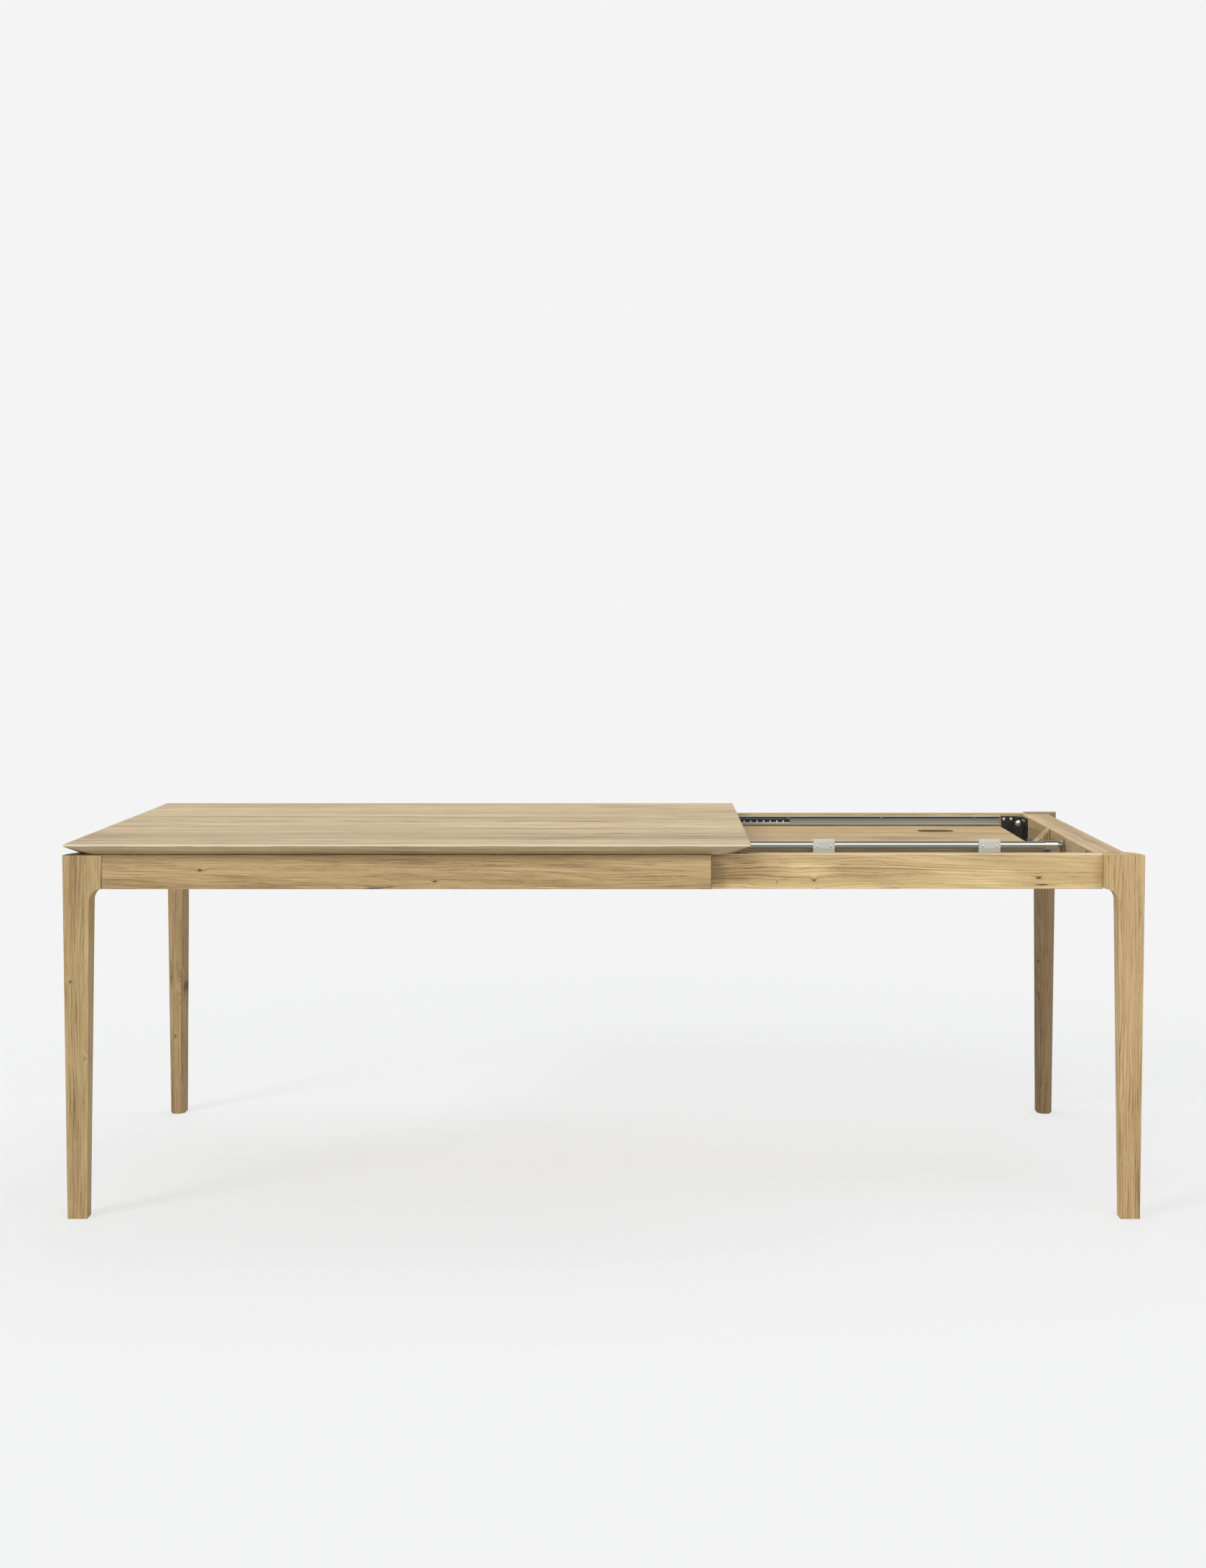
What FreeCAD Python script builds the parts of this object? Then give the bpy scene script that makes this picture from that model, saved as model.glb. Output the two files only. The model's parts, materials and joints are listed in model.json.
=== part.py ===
import FreeCAD, Part
import math
import os
import Sketcher

# Extending oak dining table. The main top stays on the left frame, and the right end
# frame draws out on two ball slides, with a folded leaf stored in its well.
# Frame: X along the table, -Y the front, Z up, origin on the floor under the middle
# of the drawn-out table. Millimetres.

doc = FreeCAD.newDocument("draw_leaf_table")
dim = doc.addObject("Spreadsheet::Sheet", "dim")

# Driving dimensions
SIZES = {
    # whole table
    "top_length": 1400,
    "leaf_length": 800,
    "table_depth": 900,
    "table_height": 760,
    "top_thick": 20,
    "top_gap": 1,
    "bevel_end_inset": 25,
    "bevel_side_inset": 10,
    "bevel_corner": 40,
    "rim_height": 4,
    "corner_radius": 8,
    # legs
    "leg_block_width": 80,
    "leg_depth": 60,
    "leg_foot_width": 40,
    "leg_foot_depth": 40,
    "leg_outer_lean": 11,
    "leg_bulge": 78,
    "knee_radius": 26,
    "side_knee_radius": 8,
    "leg_facet_top": 71,
    "leg_facet_foot": 57,
    # rails of both frames
    "apron_height": 69,
    "apron_thick": 25,
    "slide_clearance": 1,
    "inner_apron_extra": 3,
    "closing_gap": 1,
    "end_rail_inset": 30,
    "end_rail_thick": 62,
    "frame_overlap": 320,
    "cross_rail_width": 40,
    "cross_rail_height": 35,
    # corner brackets
    "bracket_thick": 2.5,
    "bracket_on_apron": 21,
    "bracket_on_rail": 21,
    "bracket_apron_flange": 30,
    "bracket_rail_flange": 55,
    "bracket_height": 56,
    "bracket_drop": 6,
    "bracket_screw_drop": 7,
    "bracket_screw_edge": 6,
    "bracket_bolt_drop": 16,
    # ball slides
    "channel_height": 22,
    "channel_depth": 13,
    "channel_wall": 1.5,
    "channel_lip": 3,
    "channel_drop": 4,
    "channel_end_gap": 56,
    "channel_screw_height": 1.5,
    "channel_screw_edge": 62,
    "ball_diameter": 5,
    "ball_gap": 0.3,
    "cage_length": 440,
    "cage_width": 10,
    "cage_thick": 1.6,
    "cage_reach": 138,
    "cage_drop": 18,
    "ball_pitch": 16,
    "runner_bar": 3,
    "runner_bar_play": 0.75,
    "runner_neck": 8,
    "runner_web": 3,
    "runner_flange": 20,
    "runner_length": 850,
    "runner_end_gap": 155,
    "runner_screw_edge": 42,
    "runner_screw_in": 12,
    # folded leaf
    "leaf_fold_y": -89,
    "leaf_end_gap": 38,
    "leaf_rest_gap": 0.3,
    "fold_gap": 0.4,
    "ledge_thick": 3,
    "ledge_upright": 20,
    "ledge_bearing": 16,
    "ledge_end": 45,
    "ledge_screw_edge": 43,
    "ledge_screw_height": 12,
    "groove_length": 85,
    "groove_width": 40,
    "groove_depth": 10,
    "groove_corner": 14,
    "groove_from_edge": 116,
    "groove_from_end": 154,
    # pivot tube and its clips
    "tube_diameter": 16,
    "tube_wall": 1.5,
    "tube_ahead": 14,
    "tube_over_leaf": 6.3,
    "sleeve_diameter": 19,
    "sleeve_length": 28,
    "tube_neck": 8,
    "pivot_plate": 8,
    "pivot_plate_width": 24,
    "pivot_screw_edge": 10,
    "stub_clearance": 0.1,
    "clip_length": 47,
    "clip_wall": 4,
    "clip_running": 0.3,
    "clip_plate": 6,
    "clip_step": 1,
    "clip_from_end": 105,
    "clip_spacing": 364.5,
    # fold hinges
    "hinge_from_end": 37,
    "hinge_length": 60,
    "hinge_plate": 1.5,
    "hinge_height": 5,
    "hinge_pin": 4,
    "hinge_knuckle": 6,
    # gusset block on the drawn end rail
    "gusset_depth": 33,
    "gusset_width": 35,
    "gusset_drop": 31,
    "gusset_slot_length": 16,
    "gusset_slot_width": 5,
    "gusset_from_middle": 55,
    # fasteners
    "screw_head": 8,
    "screw_head_height": 2.5,
    "screw_shank": 4,
    "screw_length": 16,
    "bolt_head": 15,
    "bolt_head_height": 7,
    "bolt_shank": 8,
    "bolt_length": 75,
    "apron_screw_length": 50,
    "apron_screw_grip": 12,
    "apron_screw_edge": 62,
    "apron_screw_in": 18,
    "spacer_diameter": 12,
    "angle_leg": 32,
    "angle_width": 30,
    "angle_thick": 2.5,
    "angle_from_end": 156,
    "angle_screw_reach": 21,
}


class Size:
    """A sum of sheet cells, kept as the text that setExpression takes."""

    def __init__(self, text):
        self.text = str(text)

    def join(self, sign, other, swap=False):
        first, second = self.text, str(other)
        if swap:
            first, second = second, first
        return Size(f"({first} {sign} {second})")

    def __str__(self):
        return self.text

    def __add__(self, other):
        return self.join("+", other)

    def __radd__(self, other):
        return self.join("+", other, swap=True)

    def __sub__(self, other):
        return self.join("-", other)

    def __rsub__(self, other):
        return self.join("-", other, swap=True)

    def __mul__(self, other):
        return self.join("*", other)

    def __rmul__(self, other):
        return self.join("*", other, swap=True)

    def __truediv__(self, other):
        return self.join("/", other)

    def __neg__(self):
        return Size(f"(0 - {self.text})")


def fill_sheet():
    for row, (alias, value) in enumerate(SIZES.items(), start=1):
        dim.set(f"A{row}", alias)
        dim.set(f"B{row}", str(value))
        dim.setAlias(f"B{row}", alias)
    doc.recompute()


class Cells:
    """Every driving dimension by name, ready for arithmetic."""

    def __getattr__(self, alias):
        if alias not in SIZES:
            raise AttributeError(alias)
        return Size(f"dim.{alias}")


fill_sheet()
s = Cells()
parts = []


def number(size):
    return float(dim.evalExpression(str(size)))


def bind(obj, prop, size):
    obj.setExpression(prop, str(size))


def place(obj, at):
    for axis, size in zip("xyz", at):
        bind(obj, f"Placement.Base.{axis}", size)


def keep(obj, label):
    obj.Label = label
    parts.append(obj)
    return obj


def feature(kind, name, **sizes):
    obj = doc.addObject(kind, name)
    for prop, size in sizes.items():
        bind(obj, prop, size)
    return obj


def box(name, low, high):
    obj = feature(
        "Part::Box", name, Length=high[0] - low[0], Width=high[1] - low[1], Height=high[2] - low[2]
    )
    place(obj, low)
    return obj


def body(label, at=(0, 0, 0)):
    obj = keep(doc.addObject("PartDesign::Body", label), label)
    place(obj, at)
    return obj


def sketch(owner, role, name, offset=0, turn=0):
    """A sketch on one of the body's own planes, moved along and turned about its upright."""
    obj = owner.newObject("Sketcher::SketchObject", f"{owner.Name}_{name}")
    plane = next(item for item in owner.Origin.OriginFeatures if item.Role == role)
    obj.AttachmentSupport = [(plane, "")]
    obj.MapMode = "FlatFace"
    upright = FreeCAD.Rotation(FreeCAD.Vector(0, 1, 0), turn)
    obj.AttachmentOffset = FreeCAD.Placement(FreeCAD.Vector(), upright)
    bind(obj, "AttachmentOffset.Base.z", offset)
    return obj


def pin_point(obj, edge, end, x, y):
    """Ties one sketch point to sheet values."""
    for kind, size in (("DistanceX", x), ("DistanceY", y)):
        row = obj.addConstraint(Sketcher.Constraint(kind, -1, 1, edge, end, number(size)))
        bind(obj, f"Constraints[{row}]", size)


def arc_middle(a, b, radius, side):
    """The middle point of the short arc from a to b that bulges to the given side."""
    chord = b - a
    half = chord.Length / 2
    rise = radius - math.sqrt(max(radius * radius - half * half, 0))
    left = FreeCAD.Vector(-chord.y, chord.x, 0).normalize()
    return (a + b) * 0.5 + left * (side * rise)


def outline(obj, corners):
    """Closed outline; a corner is (x, y), or (x, y, radius, side) where an arc leaves it."""
    spots = [FreeCAD.Vector(number(c[0]), number(c[1]), 0) for c in corners]
    ends = []
    base = obj.GeometryCount
    for index, corner in enumerate(corners):
        a, b = spots[index], spots[(index + 1) % len(spots)]
        if len(corner) == 2:
            edge = obj.addGeometry(Part.LineSegment(a, b), False)
        else:
            middle = arc_middle(a, b, number(corner[2]), corner[3])
            edge = obj.addGeometry(Part.Arc(a, middle, b), False)
            row = obj.addConstraint(Sketcher.Constraint("Radius", edge, number(corner[2])))
            bind(obj, f"Constraints[{row}]", corner[2])
        forward = (obj.getPoint(edge, 1) - a).Length < (obj.getPoint(edge, 2) - a).Length
        ends.append((1, 2) if forward else (2, 1))
    for index, corner in enumerate(corners):
        after = (index + 1) % len(corners)
        obj.addConstraint(
            Sketcher.Constraint("Coincident", base + index, ends[index][1], base + after, ends[after][0])
        )
        pin_point(obj, base + index, ends[index][0], corner[0], corner[1])
    return obj


def circle(obj, x, y, radius):
    centre = FreeCAD.Vector(number(x), number(y), 0)
    edge = obj.addGeometry(Part.Circle(centre, FreeCAD.Vector(0, 0, 1), number(radius)), False)
    row = obj.addConstraint(Sketcher.Constraint("Radius", edge, number(radius)))
    bind(obj, f"Constraints[{row}]", radius)
    pin_point(obj, edge, 3, x, y)
    return obj


def extrude(owner, kind, profile, length, both=False, reverse=False):
    obj = owner.newObject(f"PartDesign::{kind}", f"{profile.Name}_{kind.lower()}")
    obj.Profile = profile
    obj.SideType = "Symmetric" if both else "One side"
    obj.Reversed = reverse
    bind(obj, "Length", length)
    owner.Tip = obj
    return obj


def loft(owner, first, second):
    obj = owner.newObject("PartDesign::AdditiveLoft", f"{first.Name}_loft")
    obj.Profile = first
    obj.Sections = [second]
    obj.Ruled = True
    owner.Tip = obj
    return obj


def repeat(owner, original, role, pitch, count, back=False):
    """Copies of one feature along an axis of the body, or back along it, a pitch apart."""
    obj = owner.newObject("PartDesign::LinearPattern", f"{original.Name}_row")
    obj.Originals = [original]
    axis = next(item for item in owner.Origin.OriginFeatures if item.Role == role)
    obj.Direction = (axis, [""])
    obj.Mode = "Spacing"
    obj.Reversed = back
    bind(obj, "Offset", pitch)
    obj.Occurrences = count
    owner.Tip = obj
    return obj


def round_rectangle(low, high, radius, square_low_y=False):
    """Corners of an upright rectangle with round corners, the low-Y pair square if asked."""
    (x0, y0), (x1, y1) = low, high
    r = radius
    far = [(x1, y1 - r, r, -1), (x1 - r, y1), (x0 + r, y1, r, -1), (x0, y1 - r)]
    if square_low_y:
        return [(x0, y0), (x1, y0)] + far
    return [(x0, y0 + r, r, -1), (x0 + r, y0), (x1 - r, y0, r, -1), (x1, y0 + r)] + far


def rectangle(low, high):
    (x0, y0), (x1, y1) = low, high
    return [(x0, y0), (x1, y0), (x1, y1), (x0, y1)]


def spread(low, high, edge, count):
    """Places spaced evenly between two ends, the first and last an edge distance in."""
    step = (high - low - 2 * edge) / (count - 1)
    return [low + edge + step * index for index in range(count)]


# Places worked out from the driving dimensions
half_length = (s.top_length + s.leaf_length) / 2
half_depth = s.table_depth / 2
top_low = s.table_height - s.top_thick
top_end = half_length - s.leaf_length
frame_top = top_low - s.top_gap
frame_low = frame_top - s.apron_height
block_inner = half_length - s.leg_block_width
rail_outer = half_length - s.end_rail_inset
rail_inner = rail_outer - s.end_rail_thick
rail_end = half_depth - s.leg_depth
outer_apron_in = half_depth - s.apron_thick
inner_apron_out = outer_apron_in - s.slide_clearance
inner_apron_in = inner_apron_out - s.apron_thick
inner_apron_low = frame_low - s.inner_apron_extra
outer_apron_end = top_end - s.leg_block_width - s.closing_gap
inner_apron_end = outer_apron_end + s.closing_gap - s.frame_overlap
cross_top = frame_low + s.cross_rail_height
bracket_top = frame_top - s.bracket_drop

leaf_high_x = rail_inner - s.leaf_end_gap
leaf_low_x = leaf_high_x - s.leaf_length
leaf_far_y = s.leaf_fold_y + half_depth
ledge_top = frame_low + s.ledge_thick
leaf_low = ledge_top + s.leaf_rest_gap
leaf_middle = leaf_low + s.top_thick
leaf_upper_low = leaf_middle + s.fold_gap
leaf_top = leaf_upper_low + s.top_thick
leaf_rail_high = leaf_low_x - s.ledge_thick - 2 * s.closing_gap
leaf_rail_low = leaf_rail_high - s.cross_rail_width

tube_y = s.leaf_fold_y - s.tube_ahead
tube_z = leaf_top + s.tube_over_leaf
tube_radius = s.tube_diameter / 2
bore_radius = tube_radius - s.tube_wall
tube_low_x = leaf_rail_high + s.pivot_plate
tube_high_x = rail_inner - s.pivot_plate - s.tube_neck

channel_top = frame_top - s.channel_drop
channel_low = channel_top - s.channel_height
channel_high_x = rail_inner - s.channel_end_gap
channel_low_x = inner_apron_end + s.cross_rail_width / 2
ball_radius = s.ball_diameter / 2
ball_in = s.channel_wall + s.ball_gap + ball_radius
ball_z = frame_top - s.cage_drop
bar_in = ball_in + ball_radius + s.ball_gap
bar_out = bar_in + s.runner_bar
web_in = s.channel_depth + s.runner_bar
cage_high_x = top_end + s.cage_reach
runner_high_x = top_end - s.runner_end_gap
runner_low_x = runner_high_x - s.runner_length

through = 2 * s.table_height

SIDES = {"front": -1, "rear": 1}
ENDS = {"left": -1, "right": 1}

# Counts
HEAD_SIDES = 12
SHANK_SIDES = 6
BALL_SIDES = 8
LEAD_BALLS = 11
TAIL_BALLS = 3
APRON_SCREWS = 4
CHANNEL_SCREWS = 5
RUNNER_SCREWS = 4
LEDGE_SCREWS = 3
RAIL_ANGLES = 3
FOLD_HINGES = 3
CLIPS = 2


def bevelled_board(label, low, high, bottom, bevel_up, square_fold):
    """A board whose edges are bevelled below, or above when it lies upside down."""
    board = body(label, (0, 0, bottom))
    inset = s.bevel_end_inset
    fold_inset = 0 if square_fold else s.bevel_side_inset
    flat_corner = s.corner_radius if square_fold else s.bevel_corner
    full = round_rectangle(low, high, s.corner_radius, square_fold)
    narrow = round_rectangle(
        (low[0] + inset, low[1] + fold_inset),
        (high[0] - inset, high[1] - s.bevel_side_inset),
        flat_corner,
        square_fold,
    )
    rim_low = 0 if bevel_up else s.top_thick - s.rim_height
    rim_high = s.rim_height if bevel_up else s.top_thick
    slope_z = (rim_high, s.top_thick) if bevel_up else (0, rim_low)
    wide_z, narrow_z = slope_z if bevel_up else slope_z[::-1]
    rim = outline(sketch(board, "XY_Plane", "rim", rim_low), full)
    extrude(board, "Pad", rim, s.rim_height)
    wide = outline(sketch(board, "XY_Plane", "wide", wide_z), full)
    flat = outline(sketch(board, "XY_Plane", "flat", narrow_z), narrow)
    loft(board, wide, flat)
    return board


def leg(label, sx, sy):
    """A leg drawn from its outer corner: round end side, knees to both rails, inner facet."""
    leg_body = body(label, (sx * half_length, sy * half_depth, 0))
    lean, width, depth = s.leg_outer_lean, s.leg_block_width, s.leg_depth

    def inward(spots):
        return [(-sx * spot[0], -sy * spot[1], *spot[2:]) for spot in spots]

    plan = outline(sketch(leg_body, "XY_Plane", "plan"), inward(rectangle((0, 0), (width, depth))))
    extrude(leg_body, "Pad", plan, frame_top)

    inset = lean + s.end_rail_inset
    outside = [
        (inset, depth, s.leg_bulge, -sx * sy), (lean, 0), (lean, -depth), (-width, -depth),
        (-width, 2 * depth), (inset, 2 * depth),
    ]
    tilt = sx * math.degrees(math.atan2(number(lean), number(frame_top)))
    end_round = outline(sketch(leg_body, "XY_Plane", "end_round", turn=tilt), inward(outside))
    extrude(leg_body, "Pocket", end_round, through, both=True)

    def shave(name, role, sign, foot_line, shaft_line, block_line, turn=0):
        """Cuts away what lies inside the shaft's inner line and under the knee."""
        radius = block_line - shaft_line
        spots = [
            (sign * foot_line, 0),
            (sign * shaft_line, frame_low - radius, radius, sign),
            (sign * block_line, frame_low),
            (sign * (block_line + width), frame_low),
            (sign * (block_line + width), 0),
        ]
        cut = outline(sketch(leg_body, role, name, turn=turn), spots)
        extrude(leg_body, "Pocket", cut, through, both=True)

    shave("front_knee", "XZ_Plane", -sx, lean + s.leg_foot_width, width - s.knee_radius, width)
    shave("side_knee", "YZ_Plane", -sy, s.leg_foot_depth, depth - s.side_knee_radius, depth)
    facet = s.leg_facet_top
    shave("facet", "XZ_Plane", -sx, s.leg_facet_foot, facet, facet + s.knee_radius, turn=45 * sx * sy)
    return leg_body


def rails():
    """Aprons and rails, each a planed board."""
    for side, sy in SIDES.items():
        outer_low = half_depth * sy if sy < 0 else outer_apron_in
        inner_low = inner_apron_out * sy if sy < 0 else inner_apron_in
        keep(
            box(
                f"{side}_outer_apron",
                (-block_inner, outer_low, frame_low),
                (outer_apron_end, outer_low + s.apron_thick, frame_top),
            ),
            f"{side}_outer_apron",
        )
        keep(
            box(
                f"{side}_inner_apron",
                (inner_apron_end, inner_low, inner_apron_low),
                (block_inner, inner_low + s.apron_thick, frame_top),
            ),
            f"{side}_inner_apron",
        )
    for end, sx in ENDS.items():
        low_x = -rail_outer if sx < 0 else rail_inner
        label = f"{end}_end_rail"
        keep(
            box(label, (low_x, -rail_end, frame_low), (low_x + s.end_rail_thick, rail_end, frame_top)),
            label,
        )
    for label, low_x in (("inner_cross_rail", inner_apron_end), ("leaf_cross_rail", leaf_rail_low)):
        low = (low_x, -inner_apron_in, frame_low)
        high = (low_x + s.cross_rail_width, inner_apron_in, cross_top)
        keep(box(label, low, high), label)


def bracket_seat(end):
    """The apron face that an end's brackets sit on, and how far they reach along the rail."""
    apron_face = outer_apron_in if end == "left" else inner_apron_in
    return apron_face, s.bracket_on_rail + (apron_face - inner_apron_in)


def corner_bracket(end, side):
    """Folded steel plate across a corner, with a flange on the apron and one on the rail."""
    sx, sy = ENDS[end], SIDES[side]
    apron_face, b = bracket_seat(end)
    low_z = bracket_top - s.bracket_height
    plate = body(f"{end}_{side}_bracket", (sx * rail_inner, sy * apron_face, low_z))
    t = s.bracket_thick
    fold = t * math.tan(math.pi / 8)
    a = s.bracket_on_apron
    apron_end, rail_flange_end = a + s.bracket_apron_flange, b + s.bracket_rail_flange
    spots = [
        (apron_end, 0), (a, 0), (0, b), (0, rail_flange_end),
        (t, rail_flange_end), (t, b + fold), (a + fold, t), (apron_end, t),
    ]
    local = [(-sx * x, -sy * y) for x, y in spots]
    extrude(plate, "Pad", outline(sketch(plate, "XY_Plane", "plan"), local), s.bracket_height)


def prism(name, sides, radius, height):
    """A round bar of few facets, for small pieces that repeat."""
    obj = feature("Part::Prism", name, Circumradius=radius, Height=height)
    obj.Polygon = sides
    return obj


def fastener(name, at, direction, head, head_height, shank, length):
    """A screw or bolt: head proud of the seat point, shank along the direction."""
    cap = prism(f"{name}_head", HEAD_SIDES, head / 2, head_height)
    bind(cap, "Placement.Base.z", -head_height)
    stem = prism(f"{name}_shank", SHANK_SIDES, shank / 2, length)
    whole = doc.addObject("Part::Fuse", name)
    whole.Base, whole.Tool = cap, stem
    turn = FreeCAD.Rotation(FreeCAD.Vector(0, 0, 1), FreeCAD.Vector(*direction))
    whole.Placement = FreeCAD.Placement(FreeCAD.Vector(), turn)
    place(whole, at)
    return whole


def group(label, members):
    obj = doc.addObject("Part::Compound", label)
    obj.Links = members
    return keep(obj, label)


def screw_row(label, seats, length=None):
    """One node of equal screws; a seat is a point and the way the screw points."""
    members = [
        fastener(
            f"{label}_{index}", at, way, s.screw_head, s.screw_head_height, s.screw_shank,
            length or s.screw_length,
        )
        for index, (at, way) in enumerate(seats)
    ]
    return group(label, members)


def corner_fixings(end):
    """Hanger bolts and flange screws of one end's two brackets."""
    sx = ENDS[end]
    apron_face, on_rail = bracket_seat(end)
    a, b = number(s.bracket_on_apron), number(on_rail)
    across = math.hypot(a, b)
    screw_z = bracket_top - s.bracket_screw_drop
    bolts, seats = [], []
    for side, sy in SIDES.items():
        corner_x, corner_y = sx * rail_inner, sy * apron_face
        way = (sx * b / across, sy * a / across, 0)
        lift = s.bracket_thick
        at = (
            corner_x - sx * (s.bracket_on_apron / 2 + lift * (b / across)),
            corner_y - sy * (on_rail / 2 + lift * (a / across)),
            bracket_top - s.bracket_bolt_drop,
        )
        bolts.append(
            fastener(
                f"{end}_{side}_bolt", at, way, s.bolt_head, s.bolt_head_height, s.bolt_shank, s.bolt_length
            )
        )
        for spot in spread(0, s.bracket_apron_flange, s.bracket_screw_edge, 2):
            along = s.bracket_on_apron + spot
            seats.append(((corner_x - sx * along, corner_y - sy * lift, screw_z), (0, sy, 0)))
            along = on_rail + spot
            seats.append(((corner_x - sx * lift, corner_y - sy * along, screw_z), (sx, 0, 0)))
    group(f"{end}_bolts", bolts)
    screw_row(f"{end}_bracket_screws", seats)


def top_fixings():
    """Screws up through the outer aprons, spacers that make the shadow gap, rail angles."""
    screws, spacers = [], []
    places = spread(-block_inner, outer_apron_end, s.apron_screw_edge, APRON_SCREWS)
    seat_z = top_low + s.apron_screw_grip - s.apron_screw_length
    for side, sy in SIDES.items():
        for index, x in enumerate(places):
            y = sy * (half_depth - s.apron_screw_in)
            name = f"{side}_{index}"
            screws.append(((x, y, seat_z), (0, 0, 1)))
            pad = prism(f"spacer_{name}", HEAD_SIDES, s.spacer_diameter / 2, s.top_gap)
            hole = prism(f"spacer_hole_{name}", SHANK_SIDES, s.screw_shank / 2, s.top_gap)
            ring = doc.addObject("Part::Cut", f"spacer_ring_{name}")
            ring.Base, ring.Tool = pad, hole
            place(ring, (x, y, frame_top))
            spacers.append(ring)
    screw_row("apron_screws", screws, s.apron_screw_length)
    group("top_spacers", spacers)

    angles, seats = [], []
    for y in spread(-rail_end, rail_end, s.angle_from_end, RAIL_ANGLES):
        low_y = y - s.angle_width / 2
        upright = box(
            f"angle_upright_{len(angles)}",
            (-rail_inner, low_y, top_low - s.angle_leg),
            (-rail_inner + s.angle_thick, low_y + s.angle_width, top_low),
        )
        shelf = box(
            f"angle_shelf_{len(angles)}",
            (-rail_inner, low_y, top_low - s.angle_thick),
            (-rail_inner + s.angle_leg, low_y + s.angle_width, top_low),
        )
        angle = doc.addObject("Part::Fuse", f"angle_{len(angles)}")
        angle.Base, angle.Tool = upright, shelf
        angles.append(angle)
        inner_face = -rail_inner + s.angle_thick
        seats.append(((inner_face, y, top_low - s.angle_screw_reach), (-1, 0, 0)))
        shelf_x = -rail_inner + s.angle_screw_reach
        seats.append(((shelf_x, y, top_low - s.angle_thick), (0, 0, 1)))
    group("rail_angles", angles)
    screw_row("angle_screws", seats, s.apron_screw_grip)


def ball(name, at):
    """A steel ball of few facets: what three crossed eight-sided bars have in common."""
    reach = ball_radius / math.cos(math.pi / BALL_SIDES)
    bars = []
    for index, turn in enumerate(((1, 0, 0), (0, 1, 0), (0, 0, 1))):
        bar = prism(f"{name}_bar_{index}", BALL_SIDES, reach, s.ball_diameter)
        flat = FreeCAD.Rotation(FreeCAD.Vector(0, 0, 1), 180 / BALL_SIDES)
        along = FreeCAD.Rotation(FreeCAD.Vector(0, 0, 1), FreeCAD.Vector(*turn))
        bar.Placement.Rotation = along.multiply(flat)
        for axis, share in zip("xyz", turn):
            bind(bar, f"Placement.Base.{axis}", -share * ball_radius)
        bars.append(bar)
    obj = doc.addObject("Part::MultiCommon", name)
    obj.Shapes = bars
    place(obj, at)
    return obj


def slide(side):
    """Ball slide of one side: channel on the inner apron, caged balls, runner on the top."""
    sy = SIDES[side]
    wall, lip = s.channel_wall, s.channel_lip

    def in_section(spots, z_from):
        return [(-sy * w, z_from + z) for w, z in spots]

    depth, height = s.channel_depth, s.channel_height
    c_shape = [
        (0, 0), (depth, 0), (depth, lip), (depth - wall, lip), (depth - wall, wall), (wall, wall),
        (wall, height - wall), (depth - wall, height - wall), (depth - wall, height - lip),
        (depth, height - lip), (depth, height), (0, height),
    ]
    channel = body(f"{side}_rail_channel", (channel_low_x, sy * inner_apron_in, channel_low))
    run = channel_high_x - channel_low_x
    profile = outline(sketch(channel, "YZ_Plane", "section"), in_section(c_shape, 0))
    extrude(channel, "Pad", profile, run)
    screw_z = height - wall * 2 - s.screw_head / 2
    places = spread(channel_low_x, channel_high_x, s.channel_screw_edge, CHANNEL_SCREWS)
    low_heads = [
        fastener(
            f"{side}_channel_screw_{index}",
            (x, sy * (inner_apron_in - wall), channel_low + screw_z),
            (0, sy, 0),
            s.screw_head, s.channel_screw_height, s.screw_shank, s.screw_length,
        )
        for index, x in enumerate(places)
    ]

    cage = body(f"{side}_ball_cage", (cage_high_x - s.cage_length, sy * inner_apron_in, ball_z))
    near, half_cage = ball_in - s.cage_thick / 2, s.cage_width / 2
    strip = rectangle((near, -half_cage), (near + s.cage_thick, half_cage))
    section = outline(sketch(cage, "YZ_Plane", "section"), in_section(strip, 0))
    extrude(cage, "Pad", section, s.cage_length)
    half_seat = ball_radius + s.ball_gap
    lead = s.cage_length - s.ball_pitch
    starts = {"lead": (lead, -1, LEAD_BALLS), "tail": (s.ball_pitch, 1, TAIL_BALLS)}
    balls = []
    for name, (start, way, count) in starts.items():
        window = rectangle((start - half_seat, -half_seat), (start + half_seat, half_seat))
        seat = outline(sketch(cage, "XZ_Plane", f"{name}_seat"), window)
        seat_cut = extrude(cage, "Pocket", seat, through, both=True)
        repeat(cage, seat_cut, "X_Axis", s.ball_pitch, count, back=way < 0)
        for index in range(count):
            x = cage_high_x - s.cage_length + start + way * index * s.ball_pitch
            at = (x, sy * (inner_apron_in - ball_in), ball_z)
            balls.append(ball(f"{side}_{name}_ball_{index}", at))
    group(f"{side}_balls", balls)

    bar_low = wall + s.runner_bar_play
    bar_high = height - bar_low
    neck_low = (height - s.runner_neck) / 2
    neck_high = neck_low + s.runner_neck
    head = top_low - channel_low
    web_out = web_in + s.runner_web
    flange_out = web_in + s.runner_flange
    shape = [
        (bar_in, bar_low), (bar_out, bar_low), (bar_out, neck_low), (web_out, neck_low),
        (web_out, head - s.runner_web), (flange_out, head - s.runner_web), (flange_out, head),
        (web_in, head), (web_in, neck_high), (bar_out, neck_high), (bar_out, bar_high),
        (bar_in, bar_high),
    ]
    runner = body(f"{side}_runner", (runner_low_x, sy * inner_apron_in, channel_low))
    section = outline(sketch(runner, "YZ_Plane", "section"), in_section(shape, 0))
    extrude(runner, "Pad", section, s.runner_length)
    seat_y = sy * (inner_apron_in - web_in - s.runner_screw_in)
    places = spread(runner_low_x, runner_high_x, s.runner_screw_edge, RUNNER_SCREWS)
    seats = [((x, seat_y, top_low - s.runner_web), (0, 0, 1)) for x in places]
    return low_heads, seats


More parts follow.
